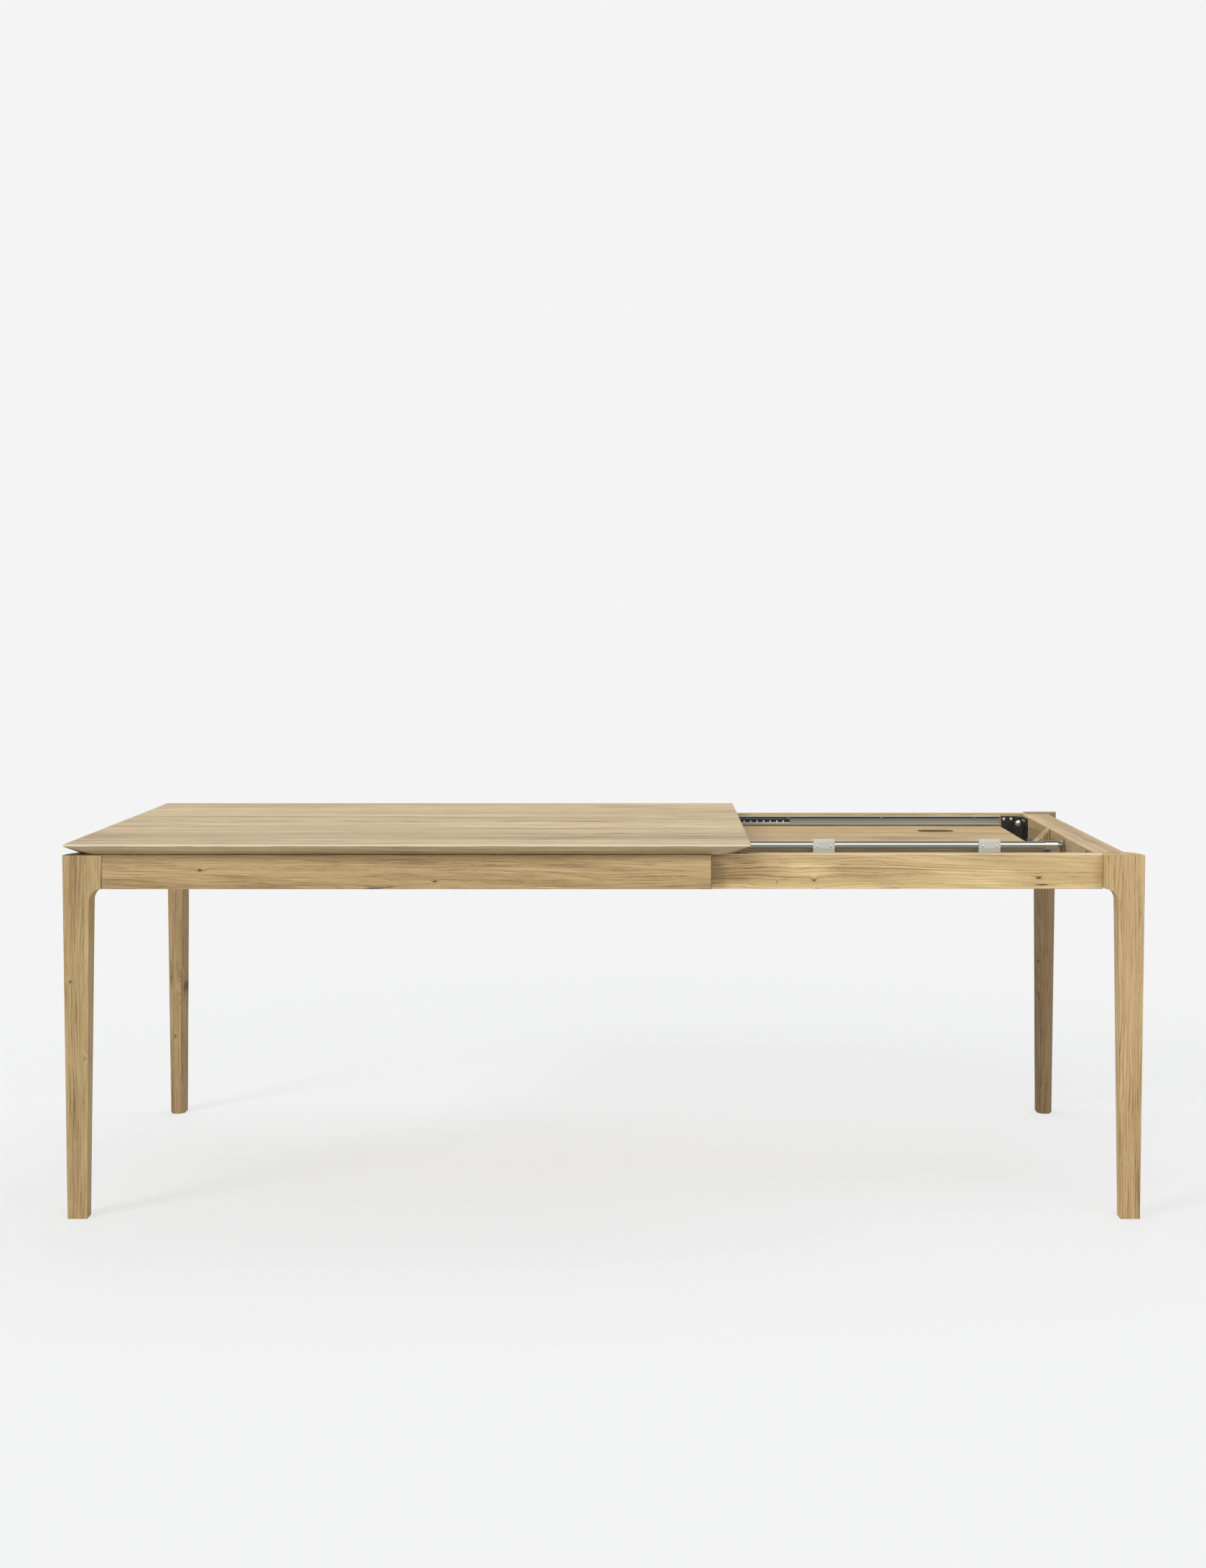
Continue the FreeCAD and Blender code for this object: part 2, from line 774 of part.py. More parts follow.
def slides():
    low_heads, seats = [], []
    for side in SIDES:
        side_heads, side_seats = slide(side)
        low_heads += side_heads
        seats += side_seats
    group("channel_screws", low_heads)
    screw_row("runner_screws", seats, s.apron_screw_grip)


def leaf_ledges():
    """Folded steel ledges that carry the leaf's flat underside at both ends."""
    t = s.ledge_thick
    reach = s.bevel_end_inset + s.ledge_bearing
    low_y, high_y = s.leaf_fold_y + t, leaf_far_y - s.ledge_end
    seats = []
    spots_of = {
        "left_leaf_ledge": (leaf_rail_high, 1, leaf_low_x + reach - leaf_rail_high),
        "right_leaf_ledge": (rail_inner, -1, rail_inner - leaf_high_x + reach),
    }
    for label, (face, way, width) in spots_of.items():
        ledge = body(label, (face, low_y, frame_low))
        spots = [(0, 0), (width, 0), (width, t), (t, t), (t, s.ledge_upright), (0, s.ledge_upright)]
        section = outline(sketch(ledge, "XZ_Plane", "section"), [(way * x, z) for x, z in spots])
        extrude(ledge, "Pad", section, high_y - low_y, reverse=True)
        for y in spread(low_y, high_y, s.ledge_screw_edge, LEDGE_SCREWS):
            seats.append(((face + way * t, y, frame_low + s.ledge_screw_height), (-way, 0, 0)))
    screw_row("ledge_screws", seats)


def gusset():
    """Sloped wood block with a slot, standing on the right ledge against the end rail."""
    low_z = frame_low + s.ledge_upright
    block = body("end_rail_block", (rail_inner, s.gusset_from_middle, low_z))
    high = frame_top - s.top_gap / 2 - low_z
    spots = [(0, 0), (-s.gusset_depth, 0), (-s.gusset_depth, high - s.gusset_drop), (0, high)]
    side = outline(sketch(block, "XZ_Plane", "side"), spots)
    extrude(block, "Pad", side, s.gusset_width, reverse=True)
    slot_x = -(s.gusset_depth + s.gusset_slot_length) / 2
    slot_y = (s.gusset_width - s.gusset_slot_width) / 2
    far_corner = (slot_x + s.gusset_slot_length, slot_y + s.gusset_slot_width)
    slot = rectangle((slot_x, slot_y), far_corner)
    cut = outline(sketch(block, "XY_Plane", "slot", high), slot)
    extrude(block, "Pocket", cut, s.gusset_drop)


def pivot_tube():
    """Steel tube beside the fold edge, a sleeve on it and a plate with a stub at each end."""
    tube = body("leaf_tube", (tube_low_x, tube_y, tube_z))
    ring = circle(sketch(tube, "YZ_Plane", "wall"), 0, 0, tube_radius)
    circle(ring, 0, 0, bore_radius)
    extrude(tube, "Pad", ring, tube_high_x - tube_low_x)

    sleeve = body("tube_sleeve", (tube_high_x - s.sleeve_length, tube_y, tube_z))
    ring = circle(sketch(sleeve, "YZ_Plane", "wall"), 0, 0, s.sleeve_diameter / 2)
    circle(ring, 0, 0, tube_radius)
    extrude(sleeve, "Pad", ring, s.sleeve_length)

    half = s.pivot_plate_width / 2
    stub_radius = bore_radius - s.stub_clearance
    seats = []
    for end, face, way, reach in (
        ("left", leaf_rail_high, 1, s.pivot_plate + s.tube_neck),
        ("right", rail_inner, -1, s.pivot_plate + 2 * s.tube_neck),
    ):
        plate = body(f"{end}_tube_bracket", (face, tube_y, tube_z))
        foot = frame_low + s.ledge_thick - tube_z
        spots = [(half, foot), (half, 0, half, 1), (0, half, half, 1), (-half, 0), (-half, foot)]
        shape = outline(sketch(plate, "YZ_Plane", "plate"), spots)
        extrude(plate, "Pad", shape, s.pivot_plate, reverse=way < 0)
        stub = circle(sketch(plate, "YZ_Plane", "stub"), 0, 0, stub_radius)
        extrude(plate, "Pad", stub, reach, reverse=way < 0)
        for z in spread(frame_low, cross_top, s.pivot_screw_edge, 2):
            seats.append(((face + way * s.pivot_plate, tube_y, z), (-way, 0, 0)))
    screw_row("tube_bracket_screws", seats)


def clips():
    """Plastic clips on the leaf's fold edge that turn about the tube: base and cap."""
    hole = tube_radius + s.clip_running
    outer = hole + s.clip_wall
    split = -s.tube_over_leaf
    edge = s.tube_ahead
    plate_low = leaf_low + s.clip_wall - tube_z
    plate_high = leaf_middle - s.clip_wall - tube_z
    first_x = leaf_high_x - s.clip_from_end - s.clip_length / 2
    front = s.clip_step - outer
    base_spots = [
        (edge, plate_low), (edge, plate_high), (outer, plate_high + s.clip_wall / 2), (outer, split),
        (front, split), (front, plate_high), (edge - s.clip_plate, plate_low),
    ]
    flat = outer - s.clip_wall
    cap_spots = [
        (outer, split), (outer, flat, s.clip_wall, 1), (flat, outer),
        (-flat, outer, s.clip_wall, 1), (-outer, flat), (-outer, split),
    ]
    bases, caps, seats = [], [], []
    for index in range(CLIPS):
        x = first_x - s.clip_spacing * index
        for kind, spots, store in (("base", base_spots, bases), ("cap", cap_spots, caps)):
            piece = doc.addObject("PartDesign::Body", f"clip_{kind}_{index}")
            place(piece, (x - s.clip_length / 2, tube_y, tube_z))
            shape = outline(sketch(piece, "YZ_Plane", "side"), spots)
            extrude(piece, "Pad", shape, s.clip_length)
            bore = circle(sketch(piece, "YZ_Plane", "bore"), 0, 0, hole)
            extrude(piece, "Pocket", bore, through, both=True)
            store.append(piece)
        for way in (-1, 1):
            seat_x = x + way * (s.clip_length / 2 - s.screw_head)
            seat_z = leaf_low + s.top_thick / 2
            seats.append(((seat_x, s.leaf_fold_y - s.clip_plate, seat_z), (0, 1, 0)))
    group("leaf_clip_bases", bases)
    group("leaf_clip_caps", caps)
    screw_row("clip_screws", seats)


def lay(bar, at):
    """Turns an upright bar along X, its low end at a point."""
    bar.Placement.Rotation = FreeCAD.Rotation(FreeCAD.Vector(0, 1, 0), 90)
    place(bar, at)
    return bar


def fold_hinges():
    """Flap hinges over the fold line: a plate on each half, and a pin between."""
    pin_y = s.leaf_fold_y - s.hinge_knuckle / 2
    pin_z = (leaf_middle + leaf_upper_low) / 2
    lower, upper, pins = [], [], []
    third = s.hinge_length / 3
    last_x = leaf_high_x - s.hinge_length
    for index, low_x in enumerate(spread(leaf_low_x, last_x, s.hinge_from_end, FOLD_HINGES)):
        stations = {"lower": (0, 2), "upper": (1,)}
        for half, store, way in (("lower", lower, -1), ("upper", upper, 1)):
            name = f"hinge_{half}_{index}"
            near_z = pin_z + way * s.hinge_knuckle / 2
            far_z = near_z + way * s.hinge_height
            bottom, top = (far_z, near_z) if way < 0 else (near_z, far_z)
            plate = box(
                f"{name}_plate",
                (low_x, s.leaf_fold_y - s.hinge_plate, bottom),
                (low_x + s.hinge_length, s.leaf_fold_y, top),
            )
            shapes = [plate]
            for station in stations[half]:
                gap = s.ball_gap
                start = low_x + third * station + gap / 2
                knuckle = prism(f"{name}_knuckle_{station}", HEAD_SIDES, s.hinge_knuckle / 2, third - gap)
                lay(knuckle, (start, pin_y, pin_z))
                web_low, web_high = (near_z, pin_z) if way < 0 else (pin_z, near_z)
                web = box(
                    f"{name}_web_{station}",
                    (start, s.leaf_fold_y - s.hinge_plate, web_low),
                    (start + third - gap, s.leaf_fold_y, web_high),
                )
                shapes += [knuckle, web]
            joined = doc.addObject("Part::MultiFuse", f"{name}_joined")
            joined.Shapes = shapes
            clear = 0 if half == "lower" else s.stub_clearance
            hole_radius = s.hinge_pin / 2 + clear
            bore = feature("Part::Cylinder", f"{name}_bore", Radius=hole_radius, Height=s.hinge_length)
            lay(bore, (low_x, pin_y, pin_z))
            flap = doc.addObject("Part::Cut", name)
            flap.Base, flap.Tool = joined, bore
            store.append(flap)
        pin_name = f"hinge_pin_{index}"
        pin = feature("Part::Cylinder", pin_name, Radius=s.hinge_pin / 2, Height=s.hinge_length)
        pins.append(lay(pin, (low_x, pin_y, pin_z)))
    group("lower_hinge_plates", lower)
    group("upper_hinge_plates", upper)
    group("hinge_pins", pins)


def folded_leaf():
    low = (leaf_low_x, s.leaf_fold_y)
    high = (leaf_high_x, leaf_far_y)
    bevelled_board("leaf_lower_half", low, high, leaf_low, bevel_up=False, square_fold=True)
    upper = bevelled_board("leaf_upper_half", low, high, leaf_upper_low, bevel_up=True, square_fold=True)
    groove_high = (leaf_high_x - s.groove_from_end, leaf_far_y - s.groove_from_edge + s.groove_width / 2)
    groove_low = (groove_high[0] - s.groove_length, groove_high[1] - s.groove_width)
    slot = round_rectangle(groove_low, groove_high, s.groove_corner)
    groove = outline(sketch(upper, "XY_Plane", "groove", s.top_thick), slot)
    extrude(upper, "Pocket", groove, s.groove_depth)


def build():
    top_corners = (-half_length, -half_depth), (top_end, half_depth)
    bevelled_board("table_top", *top_corners, top_low, bevel_up=False, square_fold=False)
    for end, sx in ENDS.items():
        for side, sy in SIDES.items():
            leg(f"{end}_{side}_leg", sx, sy)
            corner_bracket(end, side)
        corner_fixings(end)
    rails()
    top_fixings()
    slides()
    leaf_ledges()
    gusset()
    pivot_tube()
    folded_leaf()
    clips()
    fold_hinges()
    doc.recompute()


def check():
    faults = [
        item.Label for item in doc.Objects if "Invalid" in item.State or "Error" in item.State
    ]
    for item in parts:
        shape = item.Shape
        if shape.isNull() or not shape.isValid() or not shape.Solids:
            faults.append(f"{item.Label} shape")
    if faults:
        raise RuntimeError("failed: " + ", ".join(faults))


def write():
    os.makedirs("parts", exist_ok=True)
    for item in parts:
        item.Shape.exportStep(f"parts/{item.Label}.step")
        box_now = item.Shape.BoundBox
        print(
            f"{item.Label}: {len(item.Shape.Solids)} solids, {item.Shape.Volume / 1000:.1f} cm3,",
            f"x {box_now.XMin:.1f}..{box_now.XMax:.1f} y {box_now.YMin:.1f}..{box_now.YMax:.1f}",
            f"z {box_now.ZMin:.1f}..{box_now.ZMax:.1f}",
        )


build()
check()
write()
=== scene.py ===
import json
import math

import bmesh
import bpy
import numpy as np
from mathutils import Matrix, Vector

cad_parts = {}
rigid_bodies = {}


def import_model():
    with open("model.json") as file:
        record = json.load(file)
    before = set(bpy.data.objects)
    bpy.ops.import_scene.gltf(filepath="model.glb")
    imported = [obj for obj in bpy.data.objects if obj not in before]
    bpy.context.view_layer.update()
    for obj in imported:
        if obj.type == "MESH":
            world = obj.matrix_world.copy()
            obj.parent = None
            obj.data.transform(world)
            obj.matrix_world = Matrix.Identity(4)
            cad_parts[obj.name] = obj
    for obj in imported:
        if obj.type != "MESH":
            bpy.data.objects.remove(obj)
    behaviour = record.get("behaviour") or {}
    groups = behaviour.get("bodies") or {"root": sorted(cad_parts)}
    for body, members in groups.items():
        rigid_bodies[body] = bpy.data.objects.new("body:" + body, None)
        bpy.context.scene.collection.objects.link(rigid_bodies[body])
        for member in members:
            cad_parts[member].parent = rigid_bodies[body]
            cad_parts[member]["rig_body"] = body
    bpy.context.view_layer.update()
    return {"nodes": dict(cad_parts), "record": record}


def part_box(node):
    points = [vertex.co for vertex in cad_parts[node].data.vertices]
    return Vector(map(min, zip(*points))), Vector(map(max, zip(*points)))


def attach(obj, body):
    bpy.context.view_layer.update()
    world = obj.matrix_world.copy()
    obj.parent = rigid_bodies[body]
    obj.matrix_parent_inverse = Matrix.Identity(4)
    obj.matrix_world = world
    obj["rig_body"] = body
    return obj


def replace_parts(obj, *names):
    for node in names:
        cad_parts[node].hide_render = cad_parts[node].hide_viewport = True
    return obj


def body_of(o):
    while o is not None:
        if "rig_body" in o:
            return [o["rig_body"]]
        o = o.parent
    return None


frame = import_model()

nodes = frame["nodes"]
scene = bpy.context.scene

# The photograph: its size in pixels, and the camera that took it
IMAGE_WIDTH = 1680
IMAGE_HEIGHT = 2185
FOCAL_PIXELS = 2803
AXIS_PIXEL = (900, 855)
CAMERA_PLACE = (0.086, -4.536, 1.230)
SENSOR_MM = 36

# Background tone, and the light round the object
BACKDROP = (0.905, 0.905, 0.905)
WORLD_COLOUR = (1.0, 0.99, 0.97)
WORLD_LEVEL = 0.46

# Floor in metres: where its own colour fades out round the object, how much of it shows there, and its glow
FLOOR_SIZE = 30
FLOOR_FADE = (3.2, 1.2)
FLOOR_SHADE = 0.30
FLOOR_GLOW = 0.10
FLOOR_COVER = (0.86, 0.88, 0.92)

# What polished metal sees of the studio, from the rear horizon (0) over the top to the front (1)
STUDIO_RAMP = (
    (0.0, 1.0), (0.07, 0.90), (0.14, 0.16), (0.55, 0.12), (0.61, 1.3), (0.93, 1.3), (1.0, 0.4),
)

# What polished metal sees of the floor, a painted dark brown for the shade under the table, then painted
# shade and highlight from foot to top of the slide channel, and painted shade at the foot of the tube
FLOOR_MIRRORED = (0.17, 0.145, 0.10)
CHANNEL_SHADE_AND_HIGHLIGHT = ((0.0, 0.86), (0.64, 0.42), (0.76, 0.06), (0.89, 0.06), (0.93, 1.4), (1.0, 1.4))
TUBE_SHADES = ((0.0, 0.22), (0.13, 0.36), (0.22, 1.0), (1.0, 1.0))

# Oak from its darkest pores to its palest wood, linear
OAK_RAMP = (
    (0.00, (0.070, 0.040, 0.016)),
    (0.25, (0.215, 0.138, 0.062)),
    (0.50, (0.430, 0.305, 0.152)),
    (0.75, (0.590, 0.440, 0.235)),
    (1.00, (0.780, 0.620, 0.375)),
)
# Dark of knots and glue joints, and the colour that painted shade darkens towards
OAK_KNOT_AND_SHADE = (0.050, 0.027, 0.012)
# Pale of the painted highlight along front edges
OAK_HIGHLIGHT = (0.93, 0.83, 0.64)

# Oak in mm: a year's growth, pores through the year, width of glued boards, and how far seeds lie apart
RING_SPACING = 5.0
EARLY_WOOD = ((0.0, 0.25), (0.08, 1.0), (0.30, 0.45), (0.62, 0.06), (1.0, 0.0))
PLANK_WIDTH = 112
LEG_STRIP_SHARE = 0.56
SEED_SPREAD = 731.0

# Aprons in mm: the seams at their ends, and start, full and share of the front outer one's shade by height
OUTER_APRON_ENDS = (-1020, 219)
INNER_APRON_ENDS = (1020,)
OUTER_APRON_SHADE = (718, 742, 0.5)

# Lines that follow the rings: cells per mm along and across, shift of seed, detail, roughness, start and full
DARK_LINES = (0.0022, 0.40, 3, 3.0, 0.60, 0.48, 0.66)
PALE_LINES = (0.0018, 0.34, 4, 3.0, 0.60, 0.48, 0.66)
HAIR_LINES = (0.0060, 0.80, 5, 2.0, 0.55, 0.46, 0.66)

# Metal and plastic, linear
ZINC = (0.42, 0.42, 0.40)
BENT_ZINC = (0.36, 0.36, 0.33)
# Darker zinc of the channel screws, painted shade like the channel's dark band round them
SHADED_ZINC = (0.27, 0.27, 0.25)
HEAD_ZINC = (0.66, 0.66, 0.63)
SLIDE_STEEL = (0.60, 0.61, 0.56)
BALL_STEEL = (0.95, 0.95, 0.93)
BARE_STEEL = (0.88, 0.88, 0.84)
BLACK_COAT = (0.010, 0.010, 0.011)
COAT_DUST = (0.028, 0.026, 0.024)
CHROME = (0.66, 0.66, 0.61)
CLIP_CAP = (0.68, 0.68, 0.60)
# The clip bases' darker plastic is painted shade under the caps
CLIP_BASE_IN_SHADE = (0.55, 0.54, 0.48)

# Stretch of rolling marks along x, and height in metres of the cages' bare lower edge
ROLLED = (0.02, 1, 1)
CAGE_BARE_EDGE = 0.0026

# Rounding of sharp edges: least angle in degrees, distance of vertices that are one, and widths in metres
EASE_ANGLE = 35
WELD_DISTANCE = 0.00001
TOP_EASE = 0.0016
WOOD_EASE = 0.0012
CLIP_EASE = 0.0008
SHEET_EASE = 0.0003

# Small screws of the clip caps in metres: radius, head, shank, and their place from the cap's lower corners
CAP_SCREW = (0.0027, 0.0008, 0.003)
CAP_SCREW_IN = 0.008
CAP_SCREW_UP = 0.0042

# Facets of turned pieces, and the turns of a bolt's thread
WASHER_SIDES = 32
NUT_SIDES = 6
STUD_SIDES = 20
THREAD_TURNS = 10
BALL_SIDES = 16
BALL_LEVELS = 10


# Shader graphs

class Graph:
    """Shader nodes of a material or world by short calls. An input is a socket, a number or a colour."""

    def __init__(self, owner):
        self.owner = owner
        owner.use_nodes = True
        self.tree = owner.node_tree
        self.tree.nodes.clear()

    def add(self, kind, settings=None, **inputs):
        node = self.tree.nodes.new("ShaderNode" + kind)
        for key, value in (settings or {}).items():
            setattr(node, key, value)
        for key, value in inputs.items():
            self.feed(node, key.replace("_", " "), value)
        return node

    def feed(self, node, key, value):
        socket = node.inputs[key]
        if isinstance(value, bpy.types.NodeSocket):
            self.tree.links.new(value, socket)
        elif isinstance(value, tuple) and len(value) == 3 and socket.type == "RGBA":
            socket.default_value = (*value, 1)
        else:
            socket.default_value = value

    def math(self, operation, *values):
        node = self.add("Math", {"operation": operation})
        for index, value in enumerate(values):
            self.feed(node, index, value)
        return node.outputs[0]

    def total(self, first, *rest):
        for value in rest:
            first = self.math("ADD", first, value)
        return first

    def times(self, first, *rest):
        for value in rest:
            first = self.math("MULTIPLY", first, value)
        return first

    def vector(self, x, y, z):
        return self.add("CombineXYZ", X=x, Y=y, Z=z).outputs[0]

    def step(self, value, low, high):
        """0 below low, 1 above high and smooth between; low may be above high."""
        node = self.add("MapRange", {"interpolation_type": "SMOOTHSTEP"}, Value=value)
        for key, number in (("From Min", low), ("From Max", high)):
            self.feed(node, key, number)
        return node.outputs[0]

    def noise(self, spot, scale=1.0, detail=2.0, roughness=0.5):
        node = self.add("TexNoise", Vector=spot, Scale=scale, Detail=detail, Roughness=roughness)
        return node.outputs[0]

    def swing(self, spot, amount, detail=2.0, roughness=0.5):
        """Noise round zero, about as large as the amount."""
        return self.times(self.total(self.noise(spot, 1.0, detail, roughness), -0.5), 2.0 * amount)

    def ramp(self, value, stops):
        """Ramp through (place, level or colour) stops."""
        node = self.add("ValToRGB", Fac=value)
        elements = node.color_ramp.elements
        while len(elements) < len(stops):
            elements.new(0.5)
        for element, (place, level) in zip(elements, stops):
            element.position = place
            element.color = (*level, 1) if isinstance(level, tuple) else (level, level, level, 1)
        return node.outputs[0]

    def mix(self, share, first, second, blend="MIX"):
        node = self.add("Mix", {"data_type": "RGBA", "blend_type": blend})
        self.feed(node, 0, share)
        self.feed(node, 6, first)
        self.feed(node, 7, second)
        return node.outputs[2]

    def bump(self, height, strength, distance):
        node = self.add("Bump", Height=height, Strength=strength, Distance=distance)
        return node.outputs[0]

    def shade(self, **inputs):
        shader = self.add("BsdfPrincipled", **inputs)
        self.add("OutputMaterial", Surface=shader.outputs[0])
        return self.owner


def material_graph(name):
    return Graph(bpy.data.materials.new(name))


# Oak

class Board:
    """A wooden piece's shader graph and its places in mm: along the grain, to the side of it and deep."""

    def __init__(self, name, grain, seed):
        g = material_graph(name)
        scaled = g.add("VectorMath", {"operation": "SCALE"}, Scale=1000.0)
        g.feed(scaled, 0, g.add("TexCoord").outputs["Object"])
        x, y, z = g.add("SeparateXYZ", Vector=scaled.outputs[0]).outputs
        self.g = g
        self.seed = seed
        self.places = (x, y, z)
        self.along, self.side, self.deep = {"x": (x, y, z), "y": (y, x, z), "z": (z, x, y)}[grain]
        self.reach = g.total(self.along, seed * SEED_SPREAD)

    def stretched(self, lengthwise, across):
        """Places at a number of noise cells per mm along and across the grain."""
        g = self.g
        side = g.times(self.side, across)
        deep = g.times(self.deep, across)
        return g.vector(g.times(self.reach, lengthwise), side, deep)


def glue(board, planks, pith):
    """Splits a board into glued planks: the pith and tone of each, and the joints between them."""
    g = board.g
    first, width = planks
    pith_side, pith_deep = pith
    place = g.math("DIVIDE", g.total(board.side, -first), width)
    index = g.math("FLOOR", place)
    draw = g.add("TexWhiteNoise", {"noise_dimensions": "1D"}, W=g.total(index, board.seed))
    lots = g.add("SeparateColor", Color=draw.outputs["Color"]).outputs
    board.reach = g.total(board.reach, g.times(lots[0], 9000.0))
    middle = g.total(g.times(g.total(index, 0.5), width), first + pith_side)
    pith_side = g.total(middle, g.times(g.total(lots[1], -0.5), width * 1.6))
    pith_deep = g.total(g.times(lots[2], 160.0), pith_deep - 160.0)
    tone = g.times(g.total(draw.outputs["Value"], -0.5), 0.12)
    edge = g.math("ABSOLUTE", g.total(g.math("FRACT", place), -0.5))
    joint = g.step(edge, 0.5 - 0.9 / width, 0.5)
    return (pith_side, pith_deep), tone, joint


def knot_marks(board, knots):
    """How far knots push the rings out, their dark hearts and the halos round these."""
    g = board.g
    x, y, z = board.places
    swirl = heart = halo = 0.0
    for along, side, deep, radius, stretch in knots:
        gaps = [g.times(g.total(board.along, -along), stretch)]
        for axis, middle in ((board.side, side), (board.deep, deep)):
            if middle is not None:
                gaps.append(g.total(axis, -middle))
        square = g.total(*[g.times(gap, gap) for gap in gaps])
        far = g.math("DIVIDE", g.math("SQRT", square), radius)
        ragged = g.total(far, g.swing(g.vector(g.times(x, 0.3), g.times(y, 0.3), g.times(z, 0.3)), 0.7, 3.0))
        swirl = g.total(swirl, g.times(g.step(far, 3.6, 0.2), radius * 1.5))
        heart = g.math("MAXIMUM", heart, g.step(ragged, 1.0, 0.3))
        halo = g.math("MAXIMUM", halo, g.step(far, 2.6, 0.6))
    return swirl, heart, halo


def ring_radius(board, pith, waves, swirl):
    """Distance from the pith line, bent by slow waves and by knots."""
    g = board.g
    noise = g.add("TexNoise", Vector=board.stretched(0.0017, 0.009), Scale=1.0)
    bends = g.add("SeparateColor", Color=noise.outputs[1]).outputs
    squares = []
    for place, centre, bend in zip((board.side, board.deep), pith, bends):
        off = g.total(place, g.times(g.total(bend, -0.5), 60.0 * waves))
        off = g.math("SUBTRACT", off, centre)
        squares.append(g.times(off, off))
    return g.total(
        g.math("SQRT", g.total(*squares)),
        g.times(board.reach, 0.008),
        g.swing(board.stretched(0.0065, 0.040), 5.0 * waves),
        g.swing(board.stretched(0.018, 0.14), 2.2 * waves),
        swirl,
    )


def with_sheen_and_shade(board, level, patches):
    """The wood's level with ragged patches: painted sheen where the amount is above zero, painted shade
    below.
    """
    g = board.g
    for along, deep, reach_along, reach_deep, amount in patches:
        first = g.math("DIVIDE", g.total(board.along, -along), reach_along)
        second = g.math("DIVIDE", g.total(board.deep, -deep), reach_deep)
        gap = g.math("SQRT", g.total(g.times(first, first), g.times(second, second)))
        gap = g.total(gap, g.swing(board.stretched(0.012, 0.06), 0.5))
        level = g.total(level, g.times(g.step(gap, 1.0, 0.35), amount))
    return level


def with_seams(board, colour, joint, ends):
    """The colour with dark glue joints and the seams at the board's ends."""
    g = board.g
    seam = joint
    for end in ends:
        gap = g.math("ABSOLUTE", g.total(board.along, -end))
        seam = g.math("MAXIMUM", seam, g.times(g.step(gap, 1.6, 0.7), 2.2))
    return g.mix(g.times(seam, 0.36), colour, OAK_KNOT_AND_SHADE)


def with_shade(board, colour, shaded, under_ends):
    """The colour with shade by height and on end faces that slant under."""
    g = board.g
    if shaded:
        start, full, share = shaded
        colour = g.mix(g.times(g.step(board.places[2], start, full), share), colour, OAK_KNOT_AND_SHADE)
    if under_ends:
        way = g.add("SeparateXYZ", Vector=g.add("NewGeometry").outputs["Normal"]).outputs
        slanted = g.times(g.step(g.math("ABSOLUTE", way[0]), 0.12, 0.25), g.step(way[2], -0.15, -0.4))
        colour = g.mix(g.times(slanted, under_ends), colour, OAK_KNOT_AND_SHADE)
    return colour


def with_painted_highlight(board, colour, rim):
    """The colour with a painted highlight along a front edge."""
    g = board.g
    edge_sum, edge_reach, share = rim
    start = edge_sum - edge_reach
    ragged = g.swing(board.stretched(0.012, 0.2), 1.6, 3.0)
    highlight_place = g.total(g.math("SUBTRACT", board.deep, board.side), ragged)
    return g.mix(g.times(g.step(highlight_place, start, start + 1.4), share), colour, OAK_HIGHLIGHT)


def with_recess_shade(board, colour, shaded_recess):
    """The colour with painted shade in a box-shaped recess."""
    g = board.g
    inside = 1.0
    for place, low, high in zip(board.places, *shaded_recess):
        inside = g.times(inside, g.step(place, low, low + 0.2), g.step(place, high, high - 0.6))
    return g.mix(g.times(inside, 0.90), colour, OAK_KNOT_AND_SHADE)


